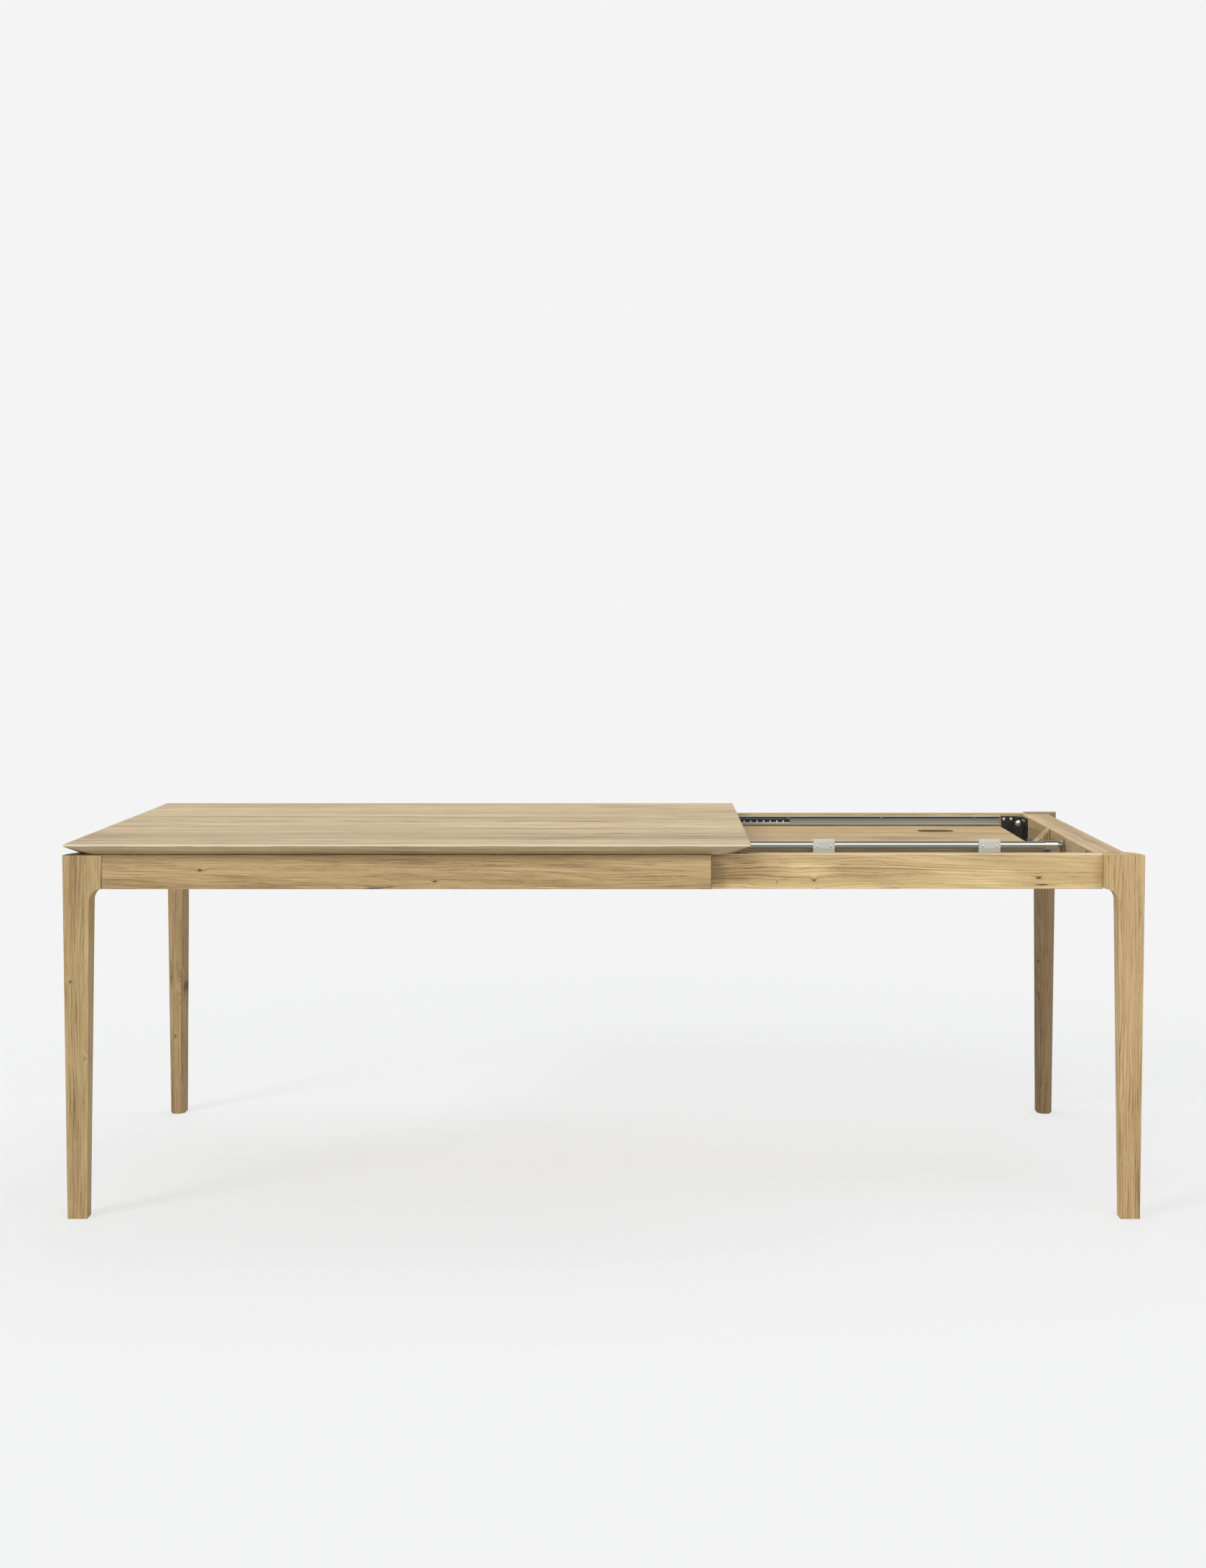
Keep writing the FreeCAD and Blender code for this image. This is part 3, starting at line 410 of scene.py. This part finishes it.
def oak(
    name, grain, pith, seed, tint=(1, 1, 1), planks=None, knots=(), ends=(), rough=0.48, figure=0.10,
    lines=1.0, short=1.0, fine=1.4, bands=1.0, flecks=0.0, waves=0.5, patches=(), shaded=None,
    under_ends=0.0, rim=None, shaded_recess=None,
):
    """Oiled oak as a solid: rings round a pith line, lines that follow them, pores, flecks and knots.

    grain is the axis that the board runs along. pith is the ring centre in mm across the grain, or with
    planks its offset from the middle of each; planks is (first edge, width) of glued boards. A knot is
    (along, side, deep, radius, stretch), where side or deep is None for an axis that the knot runs along.
    ends are the places of the board's seams. lines is the strength of the grain's lines, short and fine make
    them shorter and thinner. bands, figure and flecks are strengths too, and waves is how far the rings
    wander. A patch is (along, deep, reach along, reach deep, amount) of painted sheen where the amount is
    above zero and painted shade where it is below. shaded is (start, full, share) of a painted shade by
    height, and under_ends the share of painted shade on end faces that slant under. rim is (sum, reach,
    share) of a painted highlight along a front edge, where sum is its height less its side place.
    shaded_recess is the (low, high) box of a recess darkened with painted shade.
    """
    board = Board(name, grain, seed)
    g = board.g
    tone = joint = 0.0
    if planks:
        pith, tone, joint = glue(board, planks, pith)
    swirl, heart, halo = knot_marks(board, knots)
    radius = ring_radius(board, pith, waves, swirl)

    def in_rings(lengthwise, across, shift, detail=2.0, roughness=0.5):
        """Noise drawn out along the grain and laid along the rings."""
        spots = g.vector(g.times(board.reach, lengthwise), g.times(radius, across), seed + shift)
        return g.noise(spots, 1.0, detail, roughness)

    def drawn(kind):
        """One kind of lines, made shorter and finer as asked."""
        lengthwise, across, shift, detail, roughness, start, full = kind
        return g.step(in_rings(lengthwise * short, across * fine, shift, detail, roughness), start, full)

    years = g.total(g.math("DIVIDE", radius, RING_SPACING), g.times(in_rings(0.0004, 0.05, 1), 3.2))
    early = g.ramp(g.math("FRACT", years), EARLY_WOOD)
    early = g.times(early, g.total(0.35, g.times(g.step(in_rings(0.0006, 0.06, 2), 0.30, 0.72), 0.65)))
    dark = drawn(DARK_LINES)
    pale = drawn(PALE_LINES)
    hair = drawn(HAIR_LINES)
    pore = g.step(g.noise(board.stretched(0.030, 0.60), 1.0, 3.0, 0.6), 0.55, 0.68)
    pore = g.times(pore, g.total(0.5, g.times(early, 0.5)))
    fleck = g.vector(g.times(board.reach, 0.035), g.times(board.side, 0.12), g.times(board.deep, 0.30))
    fleck = g.step(g.noise(fleck, 1.0, 2.0), 0.60, 0.72)
    slant = g.total(g.times(board.reach, 0.009), g.times(board.deep, 0.03))
    level = g.total(
        0.64,
        tone,
        g.swing(board.stretched(0.0006, 0.030), 0.22 * bands),
        g.times(g.total(in_rings(0.0011, 0.035, 6), -0.5), 0.40 * bands),
        g.swing(g.vector(slant, g.times(board.side, 0.03), g.times(board.deep, 0.012)), figure),
        g.times(early, -0.10 * lines),
        g.times(dark, -0.25 * lines),
        g.times(pale, 0.20 * lines),
        g.times(hair, -0.15 * lines),
        g.times(pore, -0.28 * lines),
        g.times(fleck, flecks),
        g.times(halo, -0.10),
    )
    level = with_sheen_and_shade(board, level, patches)
    colour = g.mix(1.0, g.ramp(level, OAK_RAMP), tint, "MULTIPLY")
    colour = g.mix(g.times(heart, 0.88), colour, OAK_KNOT_AND_SHADE)
    colour = with_seams(board, colour, joint, ends)
    colour = with_shade(board, colour, shaded, under_ends)
    if rim:
        colour = with_painted_highlight(board, colour, rim)
    if shaded_recess:
        colour = with_recess_shade(board, colour, shaded_recess)
    smudge = g.swing(board.stretched(0.0016, 0.012), 0.05)
    height = g.total(g.times(pore, -1.0), g.times(dark, -0.4), g.times(joint, -1.0), g.times(heart, -0.8))
    return g.shade(
        Base_Color=colour,
        Roughness=g.total(rough, g.times(early, 0.08), g.times(pore, 0.10), smudge),
        Normal=g.bump(height, 0.35, 0.0006),
        Specular_IOR_Level=0.4,
    )


# Metal and plastic

def metal(name, colour, rough, along=(1, 1, 1), wear=0.08, tint=0.12, heights=None, metallic=1.0):
    """Bare or plated metal with fine rolling marks and slow smudges.

    heights is (low, high, stops) of painted shade and highlight by height, in metres.
    """
    g = material_graph(name)
    spot = g.add("TexCoord").outputs["Object"]
    marks = g.noise(g.add("Mapping", Vector=spot, Scale=along).outputs[0], 900.0, 3.0, 0.6)
    smudge = g.noise(spot, 30.0, 3.0, 0.6)
    dark = tuple(c * (1 - tint) for c in colour)
    face = g.mix(smudge, colour, dark)
    if heights:
        low, high, stops = heights
        height = g.add("SeparateXYZ", Vector=spot).outputs[2]
        share = g.math("DIVIDE", g.total(height, -low), high - low)
        face = g.mix(1.0, face, g.ramp(share, stops), "MULTIPLY")
    smudged = g.times(g.total(smudge, -0.5), wear * 2)
    marked = g.times(g.total(marks, -0.5), wear)
    return g.shade(
        Base_Color=face,
        Metallic=metallic,
        Roughness=g.total(rough, smudged, marked),
        Normal=g.bump(marks, 0.06, 0.0002),
    )


def black_coat(name, bare_below=None):
    """Black powder coat: fine orange peel, a little dust in it, and bare steel below a height in metres."""
    g = material_graph(name)
    spot = g.add("TexCoord").outputs["Object"]
    peel = g.noise(spot, 1400.0, 2.0)
    dust = g.step(g.noise(spot, 60.0, 4.0, 0.6), 0.45, 0.8)
    colour = g.mix(g.times(dust, 0.4), BLACK_COAT, COAT_DUST)
    if bare_below:
        height = g.add("SeparateXYZ", Vector=spot).outputs[2]
        colour = g.mix(g.step(height, bare_below, bare_below - 0.0003), colour, BARE_STEEL)
    return g.shade(
        Base_Color=colour,
        Roughness=g.total(0.42, g.times(dust, 0.2)),
        Normal=g.bump(peel, 0.2, 0.0003),
    )


def milky_plastic(name, colour):
    """Off-white moulded plastic that lets a little light in."""
    g = material_graph(name)
    spot = g.add("TexCoord").outputs["Object"]
    cloud = g.noise(spot, 45.0, 3.0, 0.6)
    grain = g.noise(spot, 1200.0, 2.0)
    return g.shade(
        Base_Color=g.mix(cloud, colour, tuple(0.84 * c for c in colour)),
        Roughness=g.total(0.30, g.times(cloud, 0.12)),
        Normal=g.bump(grain, 0.08, 0.0002),
        Subsurface_Weight=0.2,
        Subsurface_Scale=0.004,
    )


# CAD pieces: their materials, edges and solids

def in_mm(corners):
    return [corner * 1000 for corner in corners]


def paint(node, material):
    for material_slot in nodes[node].material_slots:
        material_slot.material = material


def ease_edges(node, width, segments=3):
    """Rounds a CAD piece's sharp edges a little, as sanding does."""
    weld = nodes[node].modifiers.new("weld", "WELD")
    weld.merge_threshold = WELD_DISTANCE
    bevel = nodes[node].modifiers.new("ease", "BEVEL")
    bevel.width = width
    bevel.segments = segments
    bevel.limit_method = "ANGLE"
    bevel.angle_limit = math.radians(EASE_ANGLE)


def solids_of(node):
    """Vertex places of each separate solid in a CAD node, ordered by their middles."""
    mesh = bmesh.new()
    mesh.from_mesh(nodes[node].data)
    bmesh.ops.remove_doubles(mesh, verts=mesh.verts, dist=1e-6)
    left = set(mesh.verts)
    solids = []
    while left:
        stack = [left.pop()]
        found = []
        while stack:
            vert = stack.pop()
            found.append(vert.co[:])
            near = {edge.other_vert(vert) for edge in vert.link_edges} & left
            left -= near
            stack += near
        solids.append(np.array(found))
    mesh.free()
    return sorted(solids, key=lambda spots: tuple(spots.mean(0).round(4)))


def seat_of(spots):
    """Seat point and direction of a screw: its head is the wide end of its longest axis."""
    middle = spots.mean(0)
    axis = np.linalg.svd(spots - middle)[2][0]
    run = (spots - middle) @ axis
    wide = np.linalg.norm(spots - middle - np.outer(run, axis), axis=1)
    head = wide > 0.8 * wide.max()
    way = axis if run[~head].mean() > run[head].mean() else -axis
    head_run = (spots[head] - middle) @ way
    centre = spots[head].mean(0)
    height = head_run.max() - head_run.min()
    length = ((spots - middle) @ way).max() - head_run.max()
    return centre + way * height / 2, way, wide[head].max(), height, length


# Turned forms: screws, bolts and balls

def skin(rings, first=None, last=None):
    """Vertices and faces of a closed skin through rings of equal counts, capped by end points."""
    count = len(rings[0])
    verts = [spot for ring in rings for spot in ring]
    faces = []
    for low in range(len(rings) - 1):
        for step in range(count):
            a, b = low * count + step, low * count + (step + 1) % count
            faces.append((a, b, b + count, a + count))
    for point, ring, flip in ((first, 0, True), (last, len(rings) - 1, False)):
        if point is None:
            continue
        verts.append(point)
        for step in range(count):
            a, b = ring * count + step, ring * count + (step + 1) % count
            faces.append((b, a, len(verts) - 1) if flip else (a, b, len(verts) - 1))
    return verts, faces


def lathe(profile, sides):
    """A turned form from (radius, height) pairs that start and end on the axis."""
    turns = [2 * math.pi * step / sides for step in range(sides)]
    rings = [[(r * math.cos(t), r * math.sin(t), z) for t in turns] for r, z in profile[1:-1]]
    return skin(rings, (0, 0, profile[0][1]), (0, 0, profile[-1][1]))


def pan_screw(radius, height, length):
    """Pan-head screw with a cross recess, its head below z 0 and its shank above."""
    half_arm, arm_end, deepest = 0.17 * radius, 0.60, 0.60 * height
    shank = radius / 2

    def dome(share):
        return -height * (1 - 0.62 * share ** 3)

    def turns_at(r):
        inner = min(math.asin(min(1, half_arm / r)), 0.60)
        outer = min(math.asin(min(1, 1.35 * half_arm / r)), 0.70)
        between = [outer + (math.pi / 2 - 2 * outer) * step / 4 for step in (1, 2, 3)]
        return [(turn, abs(turn) <= inner) for turn in (-outer, -inner, inner, outer, *between)]

    rings = []
    for share in (0.12, 0.28, 0.42, 0.56, 0.66, 0.80, 0.92, 1.0):
        r = share * radius
        ring = []
        for quarter in range(4):
            for turn, in_arm in turns_at(r):
                sunk = share < arm_end and (in_arm or share < 0.2)
                z = dome(share) + (deepest * (1 - 0.5 * share / arm_end) if sunk else 0)
                angle = turn + quarter * math.pi / 2
                ring.append((r * math.cos(angle), r * math.sin(angle), z))
        rings.append(ring)
    angles = [math.atan2(spot[1], spot[0]) for spot in rings[-1]]
    for r, z in ((radius, 0), (shank, 0), (shank, 0.75 * length), (0.35 * shank, length)):
        rings.append([(r * math.cos(angle), r * math.sin(angle), z) for angle in angles])
    return skin(rings, (0, 0, dome(0) + deepest), (0, 0, length))


def hanger_bolt(radius, height, length):
    """Washer, six-sided nut and threaded stud end on a wood bolt."""
    washer, nut = 0.2 * height, 0.62 * height
    corner, stud = 0.86 * radius, 0.50 * radius
    disc = [(0, -washer), (0.94 * radius, -washer), (radius, -0.8 * washer), (radius, 0), (0, 0)]
    nut_end = -washer - nut
    block = [
        (0, nut_end), (0.84 * corner, nut_end), (corner, -washer - 0.88 * nut),
        (corner, -washer), (0, -washer),
    ]
    thread = [(0, -height), (0.8 * stud, -height)]
    pitch = 0.06 * height
    for turn in range(THREAD_TURNS):
        z = -height + (turn + 0.5) * pitch
        thread += [(stud, z), (0.84 * stud, z + pitch / 2)]
    thread += [(stud, 0), (stud, 0.8 * length), (0.4 * stud, length), (0, length)]
    return joined([lathe(disc, WASHER_SIDES), lathe(block, NUT_SIDES), lathe(thread, STUD_SIDES)])


def joined(pieces):
    verts, faces = [], []
    for some_verts, some_faces in pieces:
        start = len(verts)
        verts += some_verts
        faces += [tuple(index + start for index in face) for face in some_faces]
    return verts, faces


def put(form, at, way, roll):
    """The form with its z axis turned along a direction and its origin at a point."""
    turn = Vector(way).to_track_quat("Z", "Y").to_matrix() @ Matrix.Rotation(roll, 3, "Z")
    verts, faces = form
    return [tuple(turn @ Vector(spot) + Vector(at)) for spot in verts], faces


def add_piece(name, form, body, material, sharp=40):
    mesh = bpy.data.meshes.new(name)
    mesh.from_pydata(form[0], [], form[1])
    mesh.materials.append(material)
    mesh.polygons.foreach_set("use_smooth", [True] * len(mesh.polygons))
    mesh.set_sharp_from_angle(angle=math.radians(sharp))
    mesh.update()
    obj = bpy.data.objects.new(name, mesh)
    scene.collection.objects.link(obj)
    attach(obj, body)
    return obj


def add_fasteners(special, usual):
    """Detailed screws and bolts on the seats of the CAD ones.

    special gives some nodes their own material and a share of the head's height.
    """
    for node in nodes:
        if not node.endswith(("_screws", "_bolts")):
            continue
        make = hanger_bolt if node.endswith("_bolts") else pan_screw
        material, flat = special.get(node, (usual, 1.0))
        forms = []
        for index, spots in enumerate(solids_of(node)):
            at, way, radius, height, length = seat_of(spots)
            forms.append(put(make(radius, flat * height, length), at, way, 2.4 * index))
        body = body_of(nodes[node])[0]
        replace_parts(add_piece(f"{node}_turned", joined(forms), body, material), node)


def add_balls(material):
    """Round steel balls in place of the faceted CAD ones."""
    for node in ("front_balls", "rear_balls"):
        forms = []
        for spots in solids_of(node):
            middle = (spots.max(0) + spots.min(0)) / 2
            radius = (spots.max(0) - spots.min(0)).max() / 2
            levels = [math.pi * step / BALL_LEVELS for step in range(BALL_LEVELS + 1)]
            profile = [(radius * math.sin(level), -radius * math.cos(level)) for level in levels]
            forms.append(put(lathe(profile, BALL_SIDES), middle, (0, 0, 1), 0))
        body = body_of(nodes[node])[0]
        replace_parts(add_piece(f"{node}_round", joined(forms), body, material, 60), node)


def add_cap_screws(material):
    """Small screws at the lower corners of each clip cap."""
    forms = []
    for spots in solids_of("leaf_clip_caps"):
        low, high = spots.min(0), spots.max(0)
        for x, roll in ((low[0] + CAP_SCREW_IN, 0.9), (high[0] - CAP_SCREW_IN, 0.4)):
            seat = (x, low[1], low[2] + CAP_SCREW_UP)
            forms.append(put(pan_screw(*CAP_SCREW), seat, (0, 1, 0), roll))
    add_piece("clip_cap_screws", joined(forms), "leaf_lower", material)


# Camera, light and floor

def add_camera():
    lens = bpy.data.cameras.new("camera")
    lens.sensor_width = SENSOR_MM
    lens.lens = FOCAL_PIXELS / IMAGE_HEIGHT * SENSOR_MM
    lens.shift_x = (IMAGE_WIDTH / 2 - AXIS_PIXEL[0]) / IMAGE_HEIGHT
    lens.shift_y = (AXIS_PIXEL[1] - IMAGE_HEIGHT / 2) / IMAGE_HEIGHT
    camera = bpy.data.objects.new("camera", lens)
    camera.location = CAMERA_PLACE
    camera.rotation_euler = (math.pi / 2, 0, 0)
    scene.collection.objects.link(camera)
    scene.camera = camera


def add_world():
    """Even studio light, the pale backdrop that the camera sees, and the studio that metal mirrors."""
    scene.world = bpy.data.worlds.new("studio")
    g = Graph(scene.world)
    path = g.add("LightPath")
    seen = g.math("MAXIMUM", path.outputs["Is Camera Ray"], path.outputs["Is Transmission Ray"])
    way = g.add("SeparateXYZ", Vector=g.add("TexCoord").outputs["Generated"]).outputs
    turned = g.math("DIVIDE", g.math("ABSOLUTE", g.math("ARCTAN2", way[2], way[1])), math.pi)
    even = g.add("Background", Color=WORLD_COLOUR, Strength=WORLD_LEVEL)
    mirrored = g.add("Background", Color=g.ramp(turned, STUDIO_RAMP))
    backdrop = g.add("Background", Color=BACKDROP)
    light = even
    for share, other in ((path.outputs["Is Glossy Ray"], mirrored), (seen, backdrop)):
        mix = g.add("MixShader")
        for key, value in enumerate((share, light.outputs[0], other.outputs[0])):
            g.feed(mix, key, value)
        light = mix
    g.add("OutputWorld", Surface=light.outputs[0])


def add_floor():
    """Pale floor that keeps a faint shadow near the object and fades into the backdrop."""
    g = material_graph("floor")
    spot = g.add("TexCoord").outputs["Object"]
    far = g.add("VectorMath", {"operation": "LENGTH"})
    g.feed(far, 0, spot)
    share = g.times(g.step(far.outputs["Value"], *FLOOR_FADE), FLOOR_SHADE)
    path = g.add("LightPath")
    looked_at = g.math("MAXIMUM", path.outputs["Is Camera Ray"], path.outputs["Is Glossy Ray"])
    glow_share = g.times(looked_at, g.math("SUBTRACT", 1.0, share))
    cover = g.add("BsdfDiffuse", Color=FLOOR_COVER)
    # Reflections see the floor in a painted dark brown that stands for the shade under the table
    seen = g.mix(path.outputs["Is Glossy Ray"], BACKDROP, FLOOR_MIRRORED)
    glow = g.add("Emission", Color=seen, Strength=g.total(1.0, g.times(share, FLOOR_GLOW)))
    mix = g.add("MixShader")
    for key, value in enumerate((glow_share, cover.outputs[0], glow.outputs[0])):
        g.feed(mix, key, value)
    g.add("OutputMaterial", Surface=mix.outputs[0])
    half = FLOOR_SIZE / 2
    mesh = bpy.data.meshes.new("floor")
    corners = [(-half, -half, 0), (half, -half, 0), (half, half, 0), (-half, half, 0)]
    mesh.from_pydata(corners, [], [(0, 1, 2, 3)])
    mesh.materials.append(g.owner)
    floor = bpy.data.objects.new("floor", mesh)
    scene.collection.objects.link(floor)


def add_lamp(name, place, target, size, watts, colour=(1, 1, 1)):
    data = bpy.data.lights.new(name, "AREA")
    data.shape = "RECTANGLE"
    data.size, data.size_y = size
    data.energy = watts
    data.color = colour
    lamp = bpy.data.objects.new(name, data)
    lamp.location = place
    lamp.rotation_euler = (Vector(target) - Vector(place)).to_track_quat("-Z", "Y").to_euler()
    scene.collection.objects.link(lamp)
    return lamp


def add_light():
    middle = (0, 0, 0.6)
    add_lamp("key", (-8.0, -7.0, 6.5), middle, (3.0, 3.0), 560, (1.0, 0.98, 0.95))
    add_lamp("fill", (2.8, -3.6, 2.2), middle, (2.2, 2.2), 40, (1.0, 0.99, 0.97))
    overhead = add_lamp("overhead", (0, 1.2, 3.6), middle, (4.0, 2.2), 50, (1.0, 0.99, 0.98))
    overhead.visible_glossy = False


# Materials on the pieces

def dress_top():
    low, high = in_mm(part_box("table_top"))
    # Painted shade on the top's bevels and slanted ends, and a painted highlight along its front edge
    paint("table_top", oak(
        "oak_top", "x", pith=(0, 700), seed=3.0, tint=(1.14, 1.19, 1.28), planks=(low.y, PLANK_WIDTH),
        rough=0.42, lines=0.65, bands=1.3, fine=0.8, knots=((-1076, 309, None, 2.2, 0.06),),
        shaded=(high.z - 3, high.z - 6, 0.28), rim=(high.z - low.y, 3.4, 0.8), under_ends=0.55,
    ))


def dress_leaf():
    """The leaf's two halves, the upper one with painted shade in its finger groove and a painted highlight
    along its front edge.
    """
    low, high = in_mm(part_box("leaf_upper_half"))
    groove = ((high.x - 245, 220, low.z + 5), (high.x - 148, 270, high.z - 0.2))
    for index, name in enumerate(("leaf_lower_half", "leaf_upper_half")):
        paint(name, oak(
            f"oak_{name}", "x", pith=(0, 650), seed=11.0 + index, tint=(1.08, 1.06, 1.02),
            planks=(low.y, PLANK_WIDTH), lines=0.7, bands=1.4, rim=(high.z - low.y, 6, 0.4),
            shaded_recess=groove if name == "leaf_upper_half" else None,
        ))


def dress_aprons():
    """The long rails: the outer ones seamed at both ends, the inner ones at the end rail."""
    paint("front_outer_apron", oak(
        "oak_front_outer", "x", pith=(-440, 560), seed=5.0, tint=(1.05, 1.02, 0.95), ends=OUTER_APRON_ENDS,
        waves=0.6, lines=0.95, short=2.6, flecks=0.05, bands=1.5, shaded=OUTER_APRON_SHADE,
        knots=((-820, None, 709, 3.2, 0.5), (-343, None, 686, 3, 0.8), (-470, None, 671, 2, 0.06)),
    ))
    paint("rear_outer_apron", oak("oak_rear_outer", "x", pith=(500, 560), seed=6.0, ends=OUTER_APRON_ENDS))
    low, high = in_mm(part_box("front_inner_apron"))
    # Painted sheen in two patches, painted shadow in one where the outer apron ends, and a painted highlight
    # along the top front edge
    paint("front_inner_apron", oak(
        "oak_front_inner", "x", pith=(-380, 600), seed=7.3, tint=(1.28, 1.28, 1.20), ends=INNER_APRON_ENDS,
        figure=0.16, waves=0.8, lines=0.75, rim=(high.z - low.y, 2.4, 0.7),
        knots=(
            (429, None, 685, 3.6, 0.95), (436, None, 667, 2.2, 0.4), (353, None, 681, 1.5, 1.0),
            (888, None, 690, 3.5, 0.4), (896, None, 676, 2.2, 0.11),
        ),
        patches=((250, 715, 120, 70, -0.14), (415, 708, 75, 30, 0.16), (760, 692, 150, 24, 0.12)),
    ))
    paint("rear_inner_apron", oak("oak_rear_inner", "x", pith=(330, 560), seed=8.0, ends=INNER_APRON_ENDS))


def dress_legs():
    """Legs of two glued strips, each with its own tint, knots and flecks. The right rear one's dark tint is
    painted shade, and the left ones' tops have painted shade.
    """
    legs = {
        "left_front": ((1.05, 1.02, 0.93), ((326, -1040, None, 5, 0.7), (482, -1083, None, 2.5, 0.8)), 0.08),
        "left_rear": ((1.0, 0.97, 0.92), ((311, -1044, None, 8, 0.4), (191, -1069, None, 2.5, 0.8)), 0.05),
        "right_front": ((1.22, 1.17, 1.10), (), 0.0),
        # The right rear leg's dark tint is painted shade
        "right_rear": ((0.66, 0.62, 0.58), ((376, None, 408, 2.4, 1.0),), 0.0),
    }
    for index, (leg, (tint, knots, flecks)) in enumerate(legs.items()):
        low, high = in_mm(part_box(f"{leg}_leg"))
        strip = (high.x - low.x) * LEG_STRIP_SHARE
        is_left = low.x < 0
        first = low.x if is_left else high.x - 2 * strip
        shaded = (high.z - 1.0, high.z - 0.2, 0.7) if is_left else None
        paint(f"{leg}_leg", oak(
            f"oak_{leg}_leg", "z", pith=(130, low.y + 200), seed=20.0 + index, tint=tint,
            planks=(first, strip), knots=knots, flecks=flecks, lines=0.8, short=2.0, shaded=shaded,
        ))


def dress_rails():
    """Cross rails with painted shade below their top faces, and the sloped block with painted shade in its
    slot.
    """
    for index, rail in enumerate(("left_end_rail", "right_end_rail", "inner_cross_rail", "leaf_cross_rail")):
        low, high = in_mm(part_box(rail))
        paint(rail, oak(
            f"oak_{rail}", "y", pith=(low.x - 120, low.z - 60), seed=30.0 + index, tint=(1.22, 1.23, 1.30),
            waves=0.25, lines=0.8, shaded=(high.z - 0.6, high.z - 2.5, 0.28),
        ))
    low, high = in_mm(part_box("end_rail_block"))
    slot = ((low.x + 7.5, low.y + 14, low.z + 12), (high.x - 7.5, high.y - 14, high.z))
    paint("end_rail_block", oak("oak_end_rail_block", "z", pith=(1030, 20), seed=40.0, shaded_recess=slot))


def ease_wood():
    for row in frame["record"]["subparts"]:
        if row["material_slot"] == "oak":
            ease_edges(row["node"], TOP_EASE if row["node"] == "table_top" else WOOD_EASE)


def dress_slides():
    """Channels with a painted highlight on the lip and painted shade in a band below it, and cages with a
    bare lower edge.
    """
    low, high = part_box("rear_rail_channel")
    slide_steel = metal("slide_steel", SLIDE_STEEL, 0.40, ROLLED, heights=(low.z, high.z, CHANNEL_SHADE_AND_HIGHLIGHT))
    for name in ("front_rail_channel", "rear_rail_channel"):
        paint(name, slide_steel)
    for name in ("front_ball_cage", "rear_ball_cage"):
        paint(name, black_coat(f"{name}_coat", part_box(name)[0].z + CAGE_BARE_EDGE))


def dress_leaf_fittings():
    """The leaf's tube with painted shade at its foot, the tube's brackets and the bases of the clips."""
    low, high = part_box("leaf_tube")
    heights = (low.z, high.z, TUBE_SHADES)
    paint("leaf_tube", metal("tube_chrome", CHROME, 0.10, ROLLED, 0.04, 0.06, heights))
    bent_zinc = metal("bent_zinc", BENT_ZINC, 0.30)
    for name in ("left_tube_bracket", "right_tube_bracket"):
        paint(name, bent_zinc)
    # Clip bases in darker plastic as painted shade
    paint("leaf_clip_bases", milky_plastic("milky_base_in_shade", CLIP_BASE_IN_SHADE))


def dress_metal():
    """Metal and plastic by their slots in the record, then the pieces that differ from their slot."""
    finishes = {
        "zinc_steel": metal("zinc", ZINC, 0.38, ROLLED, metallic=0.6),
        "chrome": metal("chrome", CHROME, 0.10, ROLLED, 0.04, 0.06),
        "black_steel": black_coat("black_coat"),
        "clip_plastic": milky_plastic("milky_plastic", CLIP_CAP),
    }
    for row in frame["record"]["subparts"]:
        finish = finishes.get(row["material_slot"])
        if finish:
            paint(row["node"], finish)
    dress_slides()
    dress_leaf_fittings()
    for name in ("leaf_clip_bases", "leaf_clip_caps"):
        ease_edges(name, CLIP_EASE)
    for name in nodes:
        if name.endswith(("_bracket", "_channel", "_cage", "_runner", "_ledge", "rail_angles")):
            ease_edges(name, SHEET_EASE, 2)


def add_small_pieces():
    head_zinc = metal("head_zinc", HEAD_ZINC, 0.28)
    shaded_zinc = metal("shaded_zinc", SHADED_ZINC, 0.40)
    add_fasteners({"channel_screws": (shaded_zinc, 0.4)}, head_zinc)
    add_cap_screws(head_zinc)
    add_balls(metal("ball_steel", BALL_STEEL, 0.32))


# The scene
scene.view_settings.view_transform = "Standard"
add_camera()
add_world()
add_floor()
add_light()
dress_top()
dress_leaf()
dress_aprons()
dress_legs()
dress_rails()
ease_wood()
dress_metal()
add_small_pieces()
